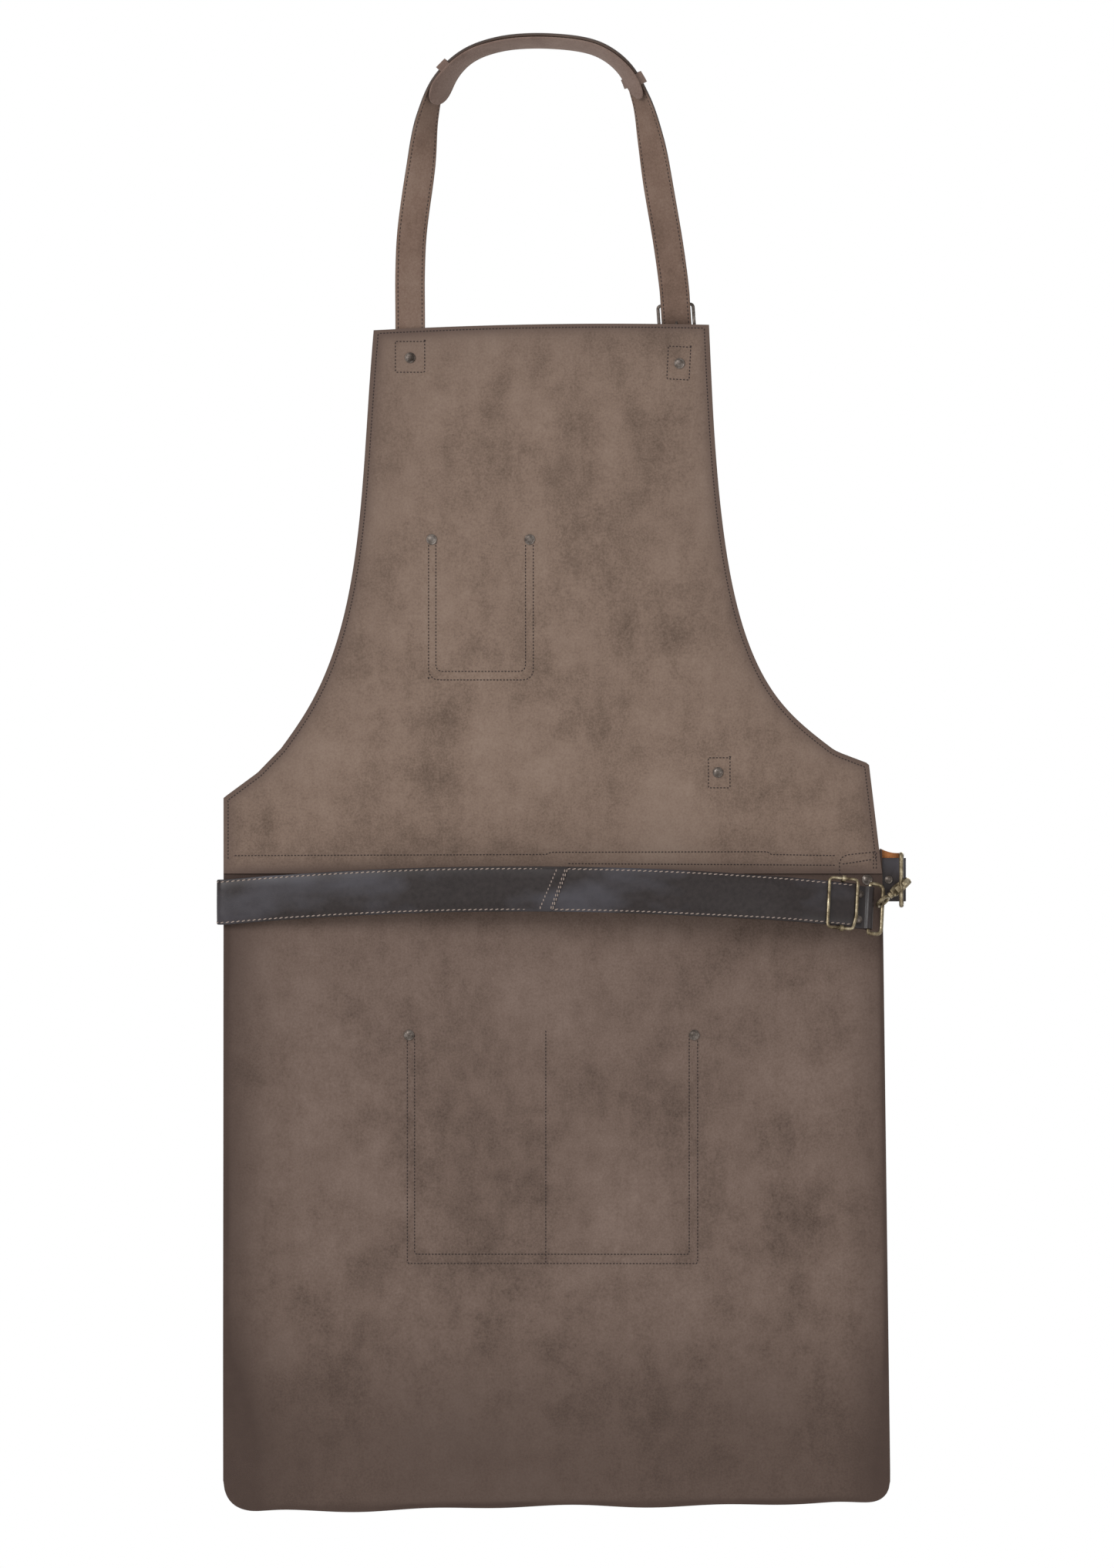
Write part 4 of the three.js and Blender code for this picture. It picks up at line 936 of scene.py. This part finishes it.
def makePad():
    start, long = pad["start"] * mm, pad["length"] * mm
    stations = start + long * (0.5 - 0.5 * np.cos(np.linspace(0, np.pi, 90)))

    # a flat cushion with a sewn rim
    shares = [(-1, 0), (-0.985, 0.45), (-0.95, 0.62), (-0.88, 0.5), (-0.8, 0.62), (-0.6, 0.86), (-0.3, 1),
              (0, 1.04), (0.3, 1), (0.6, 0.86), (0.8, 0.62), (0.88, 0.5), (0.95, 0.62), (0.985, 0.45)]
    section = [(x * pad["width"] / 2, y * pad["thickness"] / 2) for x, y in shares]
    section += [(pad["width"] / 2, 0)] + [(-x, -y) for x, y in section[1:]]

    # slimmer to the right, with rounded ends
    def widthAt(s):
        slim = pad["slim"] + (pad["full"] - pad["slim"]) * (1 - smoothStep((s - start) / (0.4 * long)))
        fromEnd = np.minimum(1, np.minimum(s - start, start + long - s) / (pad["ends"] * mm))
        return slim * np.clip(np.sqrt(np.clip(1 - 0.98 * (1 - fromEnd) ** 2, 0.0004, 1)), 0.12, 1)

    piece = strapPiece("neckPad", neckRoute, stations, section, scaleAt=widthAt,
                       liftAt=lambda s: np.full(len(s), pad["lift"] * mm),
                       shiftAt=lambda s: pad["shift"] * mm * smoothStep((s - start) / (0.3 * long)))
    setFinishes(piece, "padSuede")
    smoothShade(piece, 60)
    return settle(piece, "apron", "strap_leather", "neck_pad")


makeNeckStrap()
makePad()
print("neck strap and pad ready")

# small leathers that keep their shape: tabs, keepers and loops, with softened edges


def softCopy(node, name, body, slotName, finishName, bevel):
    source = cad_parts[node]
    piece = bpy.data.objects.new(name, source.data.copy())
    bpy.context.collection.objects.link(piece)
    piece.data.name = name
    activate(piece)
    bpy.ops.object.mode_set(mode='EDIT')
    bpy.ops.mesh.select_all(action='SELECT')
    bpy.ops.mesh.remove_doubles(threshold=0.00001)
    bpy.ops.mesh.dissolve_limited(angle_limit=math.radians(4))
    bpy.ops.mesh.select_all(action='SELECT')
    bpy.ops.mesh.normals_make_consistent(inside=False)
    bpy.ops.object.mode_set(mode='OBJECT')
    applyModifier(piece, 'BEVEL', width=bevel * mm, segments=3, limit_method='ANGLE',
                  angle_limit=math.radians(50), use_clamp_overlap=True)
    applyModifier(piece, 'TRIANGULATE')
    setFinishes(piece, finishName)
    smoothShade(piece, 40)
    return settle(piece, body, slotName, node)


# each is its node, name, body, slot, finish and bevel
smallLeathers = [
    ("pad_keeper_left", "padKeeperLeft", "apron", "strap_leather", "padSuede", 0.4),
    ("pad_keeper_right", "padKeeperRight", "apron", "strap_leather", "padSuede", 0.4),
    ("buckle_keeper", "buckleKeeper", "buckle_keeper", "strap_leather", "strapFront", 0.4),
    ("buckle_chape", "buckleChape", "apron", "strap_leather", "strapFront", 0.4),
    ("side_tab", "sideTab", "apron", "belt_leather", "beltHide", 0.45),
    ("tool_tab", "toolTab", "apron", "suede", "frontHide", 0.4),
    ("belt_end_loop", "beltEndLoop", "belt_end", "belt_leather", "beltHide", 0.5)]
for values in smallLeathers:
    softCopy(*values)


# the side tab's far layer stands a little higher and shows its undyed side
tabBack = {"left": 298.5, "right": 4.5, "rise": 4.5, "curl": 4.2, "dip": 1.5, "leather": 1.2, "gap": 0.8,
           "depth": 12}


def makeTabBack():
    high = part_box("side_tab")[1]
    left = tabBack["left"] * mm
    stations = np.linspace(left, high.x - 0.0006, 30)
    outer = spans(cadEdges("side_tab"), stations, 0, 1)[1]

    def place(u, v):
        x = left + u * (high.x - tabBack["right"] * mm - left)
        top = high.z + (tabBack["rise"] + tabBack["curl"] * (1 - u) - tabBack["dip"] * np.sin(np.pi * u)) * mm
        y = np.interp(x, stations, outer) - tabBack["gap"] * mm
        return np.stack([x, y, top - (1 - v) * tabBack["depth"] * mm], axis=1)

    piece = gridPiece("sideTabBack", 24, 16, place)
    makeLeather(piece, tabBack["leather"], -1, "tanFlesh", "beltHide", offset=0)
    return settle(piece, "apron", "belt_leather")


makeTabBack()
print("small leathers ready")

# waist belt

belt = {"width": 41, "thickness": 3, "splice": 369.85, "slant": 0.4, "overlap": 9, "step": 0.75,
        "inset": 2.1, "groove": 0.25, "dome": 0.12, "tilt": 15}
beltPoints = [
    (-239.5, 3.7, -775.8), (-268.5, 3.7, -775.8), (-297.8, 3.7, -775.8), (-299.9, 3.1, -775.8),
    (-301.5, 1.6, -775.8), (-302.1, -0.5, -775.8), (-301.5, -2.7, -775.8), (-299.9, -4.2, -775.8),
    (-297.8, -4.8, -775.8), (-256.0, -8.8, -772.3), (-167.8, -17.0, -766.9), (-79.5, -24.2, -764.0),
    (13.9, -30.4, -763.8), (96.9, -34.0, -766.0), (169.6, -35.7, -769.8), (221.5, -35.9, -773.3),
    (243.5, -32.8, -775.4), (263.5, -30.0, -777.3), (275.5, -28.3, -778.5)]


def faceFromPath(along):
    return np.cross(along, (0.0, 0.0, 1.0))


# the belt tilts towards its slider, once it is clear of the left edge
def beltTurn(centre):
    rear = centre[:, 1] < -0.0058
    return np.where(rear, -math.radians(belt["tilt"]) * smoothStep((centre[:, 0] - 0.0915) / 0.13), 0.0)


beltRoute = makeRoute(smoothLine(beltPoints), faceFromPath, beltTurn)


def makeBelt():
    splice, over, step = belt["splice"] * mm, belt["overlap"] * mm, belt["step"] * mm
    section = leatherSection(belt["width"], belt["thickness"], belt["inset"], belt["groove"], belt["dome"])

    def nearSplice(s, reach):
        return np.exp(-((s - splice) / reach) ** 2)

    # the two lengths overlap at a slanted splice, one lifted over the other
    for name, node, stations, side in (
            ("beltLeft", "belt_left", np.linspace(0, splice + over, 250), 1),
            ("beltRight", "belt_right", np.linspace(splice - over, beltRoute["length"], 170), -1)):
        piece = strapPiece(name, beltRoute, stations, section,
                           slantAt=lambda s: belt["slant"] * nearSplice(s, 0.045),
                           liftAt=lambda s: side * step * nearSplice(s, 0.02))
        setFinishes(piece, "beltHide")
        applyModifier(piece, 'BEVEL', width=0.3 * mm, segments=2, limit_method='ANGLE',
                      angle_limit=math.radians(60), use_clamp_overlap=True)
        smoothShade(piece, 35)
        settle(piece, "apron", "belt_leather", node)


makeBelt()
print("belt ready")

# stitched rows

rows = {"bibPitch": 3.0, "bibLength": 2.1, "strapPitch": 3.6, "strapLength": 2.5,
        "beltPitch": 4.9, "beltLength": 3.5, "beltLean": 0.3, "edgeInset": 4.2, "topInset": 3.2}
rear, front = (0, -1, 0), (0, 1, 0)


# a row on a panel, from points in mm as x and z, resampled so that it follows the leather
def panelRow(node, points, side=rear):
    p = np.array(points, float) * mm
    run = distanceAlong(p)
    s = np.linspace(0, run[-1], max(2, int(run[-1] / 0.002)))
    x, z = np.interp(s, run, p[:, 0]), np.interp(s, run, p[:, 1])
    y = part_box(node)[0].y + swayOf[node](x, z) + (panels["leather"] * mm if side is front else 0)
    return np.stack([x, y, z], axis=1), side, rows["bibPitch"], rows["bibLength"]


# the U of a pocket's row: down the left side, along the bottom and up the right side
def cornered(left, right, top, bottom, radius):
    turn = [(1 - math.cos(a), 1 - math.sin(a)) for a in np.linspace(0, math.pi / 2, 6)]
    low = [(left + radius * a, bottom + radius * b) for a, b in turn]
    return [(left, top)] + low + [(left + right - x, z) for x, z in reversed(low)] + [(right, top)]


# a side of the bib, moved inwards, as x and z in mm
def insetEdge(levels, edge, sign):
    slope = np.gradient(edge, levels)
    move = sign * rows["edgeInset"] * mm / np.sqrt(1 + slope ** 2)
    return np.stack([edge + move, levels - move * slope], 1) / mm


bibPocketLines = [cornered(-111.3, -16.2, -450.8, -574, 9.1), cornered(-104.7, -23.3, -450.8, -566.3, 5.6)]
lowerPocketLines = [cornered(-130.6, 133, -891.8, -1103.9, 1.5), cornered(-124, 125.3, -896, -1095.5, 1.5),
                    [(-4.9, -891.8), (-4.9, -1104)]]


def bibRows():
    left = insetEdge(bibLevels[6:-1], bibLeftX[6:-1], 1)
    right = insetEdge(bibLevels[6:-1], bibRightX[6:-1], -1)
    top = np.stack([bibTopX[1:-1], bibTopZ[1:-1] - rows["topInset"] * mm], 1) / mm
    left = np.vstack([left, [[left[-1][0] + 0.2, top[0][1]]]])
    right = np.vstack([right, [[right[-1][0] - 0.2, top[-1][1]]]])
    edges = [left, right, top]
    seam = [[(-288, -733.5), (-5, -732.5), (0, -730.5), (196, -730), (200, -732.5), (258, -733.5)],
            [(15, -740.8), (258, -742.2)]]
    boxes = [[(-141.4, -266.7), (-114.8, -266.7), (-114.8, -294.7), (-141.4, -294.7), (-141.4, -266.7)],
             [(106.4, -270.9), (126.7, -272), (125.2, -301.7), (105, -300.6), (106.4, -270.9)],
             [(142.8, -644.7), (162.4, -644.7), (162.4, -672), (142.8, -672), (142.8, -644.7)]]
    tab = [[(261.8, -754.6), (261.8, -740), (263.4, -735.6), (268.1, -732.9), (294, -730.1)],
           [(263.9, -741.3), (291.2, -737.1)], [(292.6, -730), (292.6, -746)], [(295.2, -730), (295.2, -746)]]
    # a knot where a row starts or ends is two crossed stitches
    knots = [[(x - 2.2, z + 1.4), (x + 2.2, z + 0.6)] for x, z in (
        (-114.8, -266.7), (126.7, -272), (162.4, -644.7), (-111.3, -573), (-104.7, -450.8), (-23.3, -447))]
    knots += [[(x - 1, z - 1.6), (x + 1.4, z + 2.4)] for x, z in (
        (-114.8, -266.7), (126.7, -272), (162.4, -644.7), (-111.3, -573), (-16.2, -449), (-23.3, -447))]
    work = [panelRow("bib_panel", line) for line in edges + seam + bibPocketLines + boxes + tab + knots]
    work += [panelRow("bib_panel", line, front) for line in edges]
    sew("bibStitches", work, "darkThread", "apron", "suede", width=1.0, sink=-0.05)


def skirtRows():
    work = [panelRow("skirt_panel", line) for line in lowerPocketLines]
    sew("skirtStitches", work, "darkThread", "apron", "dark_suede", width=1.0, sink=-0.05)


def pocketRows():
    work = []
    for faceAt, lines in ((bibPocketFace, bibPocketLines), (lowerPocketFace, lowerPocketLines)):
        for line in lines:
            path, *values = panelRow("bib_panel", line, front)
            path[:, 1] = faceAt(path[:, 0], path[:, 2])
            work.append((path, *values))
    sew("pocketStitches", work, "darkThread", "apron", "suede", width=1.0, sink=-0.05)


# the four rows of a strap: one near each edge, on both faces, lying in the groove
def strapEdgeRows(route, values, start, end, pitch, length, groove):
    work = []
    s = np.linspace(start * mm, end * mm, max(2, int(abs(end - start) / 3)))
    for side in (-1, 1):
        for edge in (-1, 1):
            across = edge * (values["width"] / 2 - values["inset"]) * mm
            lift = side * (values["thickness"] / 2 - groove) * mm
            work.append((onRoute(route, s, across, lift), side * readRoute(route, "face", s), pitch, length))
    return work


def strapRows():
    work = strapEdgeRows(neckRoute, strap, 3, neckRoute["length"] / mm - 18, rows["strapPitch"],
                         rows["strapLength"], strap["groove"])
    sew("strapStitches", work, "darkThread", "apron", "strap_leather", width=1.0, sink=-0.05)


def beltRows():
    work = strapEdgeRows(beltRoute, belt, 3, beltRoute["length"] / mm - 3, rows["beltPitch"],
                         rows["beltLength"], 0.2)
    # three slanted rows hold the splice
    for start, slant in ((368.3, 0.42), (377.1, 0.36), (379.0, 0.36)):
        across = np.linspace(-18.5, 18.5, 14) * mm
        s = start * mm + slant * across
        lift = (belt["thickness"] / 2 + belt["step"] * 0.9) * mm
        work.append((onRoute(beltRoute, s, across, lift), readRoute(beltRoute, "face", s), 3.6, 2.6))
    sew("beltStitches", work, "paleThread", "apron", "belt_leather", width=0.95,
        lean=rows["beltLean"], sink=-0.1)


bibRows()
skirtRows()
pocketRows()
strapRows()
beltRows()
print("stitching ready")

# hardware. Each piece is shaped flat in its own axes and then set in place

# wire is a radius, bar and corner are the roundings beside the straight bar and opposite it
hardware = {
    "slider": {"wire": 1.5, "bar": 4.0, "corner": 4.0, "tuck": 2.6, "tuckRound": 12},
    "endRing": {"wire": 1.8, "bar": 1.8, "corner": 8.5},
    "sideRing": {"wire": 1.9, "bar": 1.8, "corner": 4.2},
    "buckle": {"wire": 1.5, "bar": 3.2, "corner": 3.2},
    "toolRing": {"wire": 1.5, "bar": 1.8, "corner": 6.5},
    "hook": {"path": [(10.2, 0), (12.2, 0.6), (14.4, 3.4), (17, 5.8), (20, 6.7), (23.6, 6.7), (27, 5.8),
                      (29.8, 3.3), (30.7, 0), (29.5, -3.8), (26.2, -6.3), (22.6, -6.8)],
             "deep": [3.6, 4.2, 4.9, 5.0, 4.8, 4.4, 4.0, 3.6, 3.3, 3.0, 2.8, 2.6],
             "collar": {"radius": 3.1, "length": 2.7, "at": 9.2}},
    "rivet": {"rim": 0.15, "sides": 26, "cap": 1.3, "shank": 1.4,
              "steps": [(0.06, 0.09), (0.1, 0.01), (0.06, -0.07), (0.03, 0.03), (0.14, 0.13), (0.2, 0.09),
                        (0.2, 0.04)]},
}
# where each piece is set: its origin and its own X, Y and Z, in the frame
beltEndOut = (-.1586, .9531, -.2577)
places = {
    "slider_frame": axesFrom((.26404, -.03324, -.77643), (.9859, .1386, -.0943), (.0542, .269, .9616),
                             (.1586, -.9531, .2577)),
    "end_ring": axesFrom((.28829, -.02135, -.78112), (.9433, .302, -.1376), (.0542, .269, .9616),
                         (.3274, -.9146, .2374)),
    "snap_hook": axesFrom((.3009, -.01541, -.77483), (.7753, .0206, .6313), (.016, -.9998, .013),
                          (.6314, 0, -.7754)),
    "side_ring": axesFrom((.3185, .006, -.7554), (-.0523, -.9986, 0), (0, 0, 1), (-.9986, .0523, 0)),
    "neck_buckle_frame": axesFrom((.11364, .0037, -.24573), (.9976, 0, .0698), (-.0698, 0, .9976),
                                  (0, -1, 0)),
    "tool_ring": axesFrom((.1515, .0037, -.682), (0, 0, -1), (1, 0, 0), (0, 1, 0)),
}


# a node's lowest and highest corner in those axes, in mm
def reach(name, axes):
    back = np.array(axes.inverted())
    points = nodePoints(name) @ back[:3, :3].T + back[:3, 3]
    return points.min(axis=0) / mm, points.max(axis=0) / mm


# a round rod drawn along a flat path by extruding a ring, turning and sizing it at each step
def bendRod(name, path, radii, closed=True, sides=12):
    path = [Vector((x * mm, y * mm, 0)) for x, y in path]
    count = len(path)
    if closed:
        path.append(path[0].copy())
        radii = list(radii) + [radii[0]]
    headings = []
    for i in range(len(path)):
        before = path[i - 1] if i else path[count - 1 if closed else 0]
        after = path[i + 1] if i + 1 < len(path) else path[1 if closed else -1]
        headings.append(math.atan2(after.y - before.y, after.x - before.x))
    bpy.ops.object.select_all(action='DESELECT')
    bpy.ops.mesh.primitive_circle_add(vertices=sides, radius=radii[0] * mm, location=path[0],
                                      fill_type='NOTHING' if closed else 'NGON',
                                      rotation=(math.radians(90), 0, headings[0] + math.radians(90)))
    rod = bpy.context.object
    rod.name = rod.data.name = name
    bpy.ops.object.transform_apply(location=True, rotation=True, scale=True)
    bpy.ops.object.mode_set(mode='EDIT')
    bpy.ops.mesh.select_mode(type='VERT')
    bpy.ops.mesh.select_all(action='SELECT')
    for i in range(1, len(path)):
        bpy.ops.mesh.extrude_region_move(TRANSFORM_OT_translate={"value": path[i] - path[i - 1]})
        turn = (headings[i] - headings[i - 1] + math.pi) % (2 * math.pi) - math.pi
        if abs(turn) > 1e-5:
            bpy.ops.transform.rotate(value=-turn, orient_axis='Z', center_override=path[i])
        if radii[i] != radii[i - 1]:
            grow = radii[i] / radii[i - 1]
            bpy.ops.transform.resize(value=(grow, grow, grow), center_override=path[i])
    bpy.ops.object.mode_set(mode='OBJECT')
    tidyShell(rod)
    return rod


def finishMetal(piece, body, node, tone="oldBrass"):
    smoothShade(piece, 45)
    setFinishes(piece, tone)
    return settle(piece, body, "aged_brass", node)


# a ring's corners and their roundings, from a point on its straight bar. tuck narrows a slider's lower corner
def ringOutline(x0, x1, y0, y1, values):
    bar, corner, tuck = values["bar"], values["corner"], values.get("tuck", 0)
    corners = [(x0, 0.3 * y0), (x0, y0), (x1 - tuck, y0), (x1, y1), (x0, y1)]
    roundings = [1, bar, corner, corner, bar]
    if tuck:
        corners.insert(3, (x1, 0.45 * y0))
        roundings.insert(3, values["tuckRound"])
    return corners, roundings


def frameRing(name, node, body, kind, tone="oldBrass"):
    values = hardware[kind]
    low, high = reach(node, places[node])
    r = values["wire"]
    path = roundCorners(*ringOutline(low[0] + r, high[0] - r, low[1] + r, high[1] - r, values), 6)
    ring = bendRod(name, path, [r] * len(path))
    moveInto(ring, places[node])
    finishMetal(ring, body, node, tone)


frameRing("sliderFrame", "slider_frame", "belt_end", "slider")
frameRing("endRing", "end_ring", "end_ring", "endRing")
frameRing("sideRing", "side_ring", "side_ring", "sideRing")
# the neck buckle takes the darker grey brass: partly its own dark bronze, partly painted shade, as it lies in
# shadow
frameRing("neckBuckle", "neck_buckle_frame", "neck_buckle", "buckle", "greyBrass")
frameRing("toolRing", "tool_ring", "tool_ring", "toolRing")


def makeHook():
    values = hardware["hook"]
    axes = places["snap_hook"]
    gateLow, gateHigh = reach("hook_gate", axes)
    side = -1 if gateLow[1] + gateHigh[1] > 0 else 1
    path = np.array([(x, side * y) for x, y in values["path"]])

    # the bar is deeper across its plane than in it, and thins towards its nose
    deep = np.array(values["deep"])
    flat = 0.4 * deep + 0.2
    hook = bendRod("snapHook", path, flat, closed=False, sides=16)
    points = readPoints(hook)
    nearest = np.argmin(np.hypot(points[:, :1] - path[:, 0] * mm, points[:, 1:2] - path[:, 1] * mm), 1)
    points[:, 2] *= (deep / flat)[nearest]
    writePoints(hook, points)
    tidyShell(hook, close=True)

    # the collar that turns on the eye's post
    collarValues = values["collar"]
    bpy.ops.object.select_all(action='DESELECT')
    bpy.ops.mesh.primitive_cylinder_add(vertices=24, radius=collarValues["radius"] * mm,
                                        depth=collarValues["length"] * mm,
                                        location=(collarValues["at"] * mm, 0, 0),
                                        rotation=(0, math.radians(90), 0))
    collar = bpy.context.object
    bpy.ops.object.transform_apply(location=True, rotation=True, scale=True)
    applyModifier(collar, 'BEVEL', width=0.7 * mm, segments=3, limit_method='ANGLE')
    hook = joinPieces("snapHook", [hook, collar])
    applyModifier(hook, 'SUBSURF', levels=1, render_levels=1)
    moveInto(hook, axes)
    finishMetal(hook, "snap_hook", "snap_hook")


makeHook()


# one cap, turned once: a flat rim, a groove and a low crown
def shapeCap():
    values = hardware["rivet"]
    bpy.ops.object.select_all(action='DESELECT')
    bpy.ops.mesh.primitive_cylinder_add(vertices=values["sides"], radius=1, depth=values["rim"])
    cap = bpy.context.object
    bpy.ops.object.mode_set(mode='EDIT')
    bpy.ops.mesh.select_mode(type='FACE')
    bpy.ops.mesh.select_all(action='DESELECT')
    bpy.ops.object.mode_set(mode='OBJECT')
    for face in cap.data.polygons:
        face.select = face.normal.z > 0.9
    bpy.ops.object.mode_set(mode='EDIT')
    for inset, rise in values["steps"]:
        bpy.ops.mesh.inset(thickness=inset)
        bpy.ops.transform.translate(value=(0, 0, rise))
    bpy.ops.object.mode_set(mode='OBJECT')
    applyModifier(cap, 'BEVEL', width=0.03, segments=2, limit_method='ANGLE', angle_limit=math.radians(50))
    points, faces = takeShape(cap)
    points[:, 2] -= points[:, 2].min()
    points[:, 2] /= points[:, 2].max()
    return points, faces


capPoints, capFaces = shapeCap()


# a rivet is two caps and the shank between them, along the axis of the node that it stands for
def makeRivet(node, body, axis):
    values = hardware["rivet"]
    points = nodePoints(node)
    axis = np.array(axis, float)
    axis /= np.linalg.norm(axis)
    middle = (points.min(axis=0) + points.max(axis=0)) / 2
    depth = (points - middle) @ axis
    radius = np.linalg.norm((points - middle) - depth[:, None] * axis, axis=1).max()
    side = np.cross(axis, (0, 0, 1))
    side /= np.linalg.norm(side)
    third = np.cross(axis, side)
    capHeight = values["cap"] * mm
    copies = []
    for sign, end in ((-1, depth.min()), (1, depth.max())):
        foot = middle + axis * (end - sign * capHeight)
        flat = capPoints[:, :1] * side * radius + capPoints[:, 1:2] * third * radius * sign
        copies.append(foot + flat + capPoints[:, 2:] * axis * sign * capHeight)
    caps = copyShape(node + "Caps", copies, capFaces)
    bpy.ops.object.select_all(action='DESELECT')
    bpy.ops.mesh.primitive_cylinder_add(vertices=16, radius=values["shank"] * mm,
                                        depth=depth.max() - depth.min() - 1.6 * mm)
    shank = bpy.context.object
    applyModifier(shank, 'BEVEL', width=0.2 * mm, segments=1, limit_method='ANGLE')
    moveInto(shank, Matrix.Translation(Vector(middle + axis * (depth.max() + depth.min()) / 2))
             @ Vector(axis).to_track_quat('Z', 'Y').to_matrix().to_4x4())
    piece = joinPieces(node.replace("_", "") + "Set", [caps, shank])
    tidyShell(piece)
    finishMetal(piece, body, node, "greyBrass")


for name in list(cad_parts):
    if "rivet" in name:
        onBeltEnd = name.startswith("belt_end")
        makeRivet(name, "belt_end" if onBeltEnd else "apron", beltEndOut if onBeltEnd else front)

# the plain metal pieces are shown as they are
for name in ("slider_bar", "hook_eye", "hook_gate", "neck_buckle_prong"):
    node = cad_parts[name]
    node.data.materials.clear()
    # the prong takes the darker grey brass too: partly its own dark bronze, partly painted shade
    node.data.materials.append(finish["greyBrass" if name == "neck_buckle_prong" else "oldBrass"])
print("hardware ready")

[[list(corner) for corner in box] for box in (cadBox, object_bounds())]
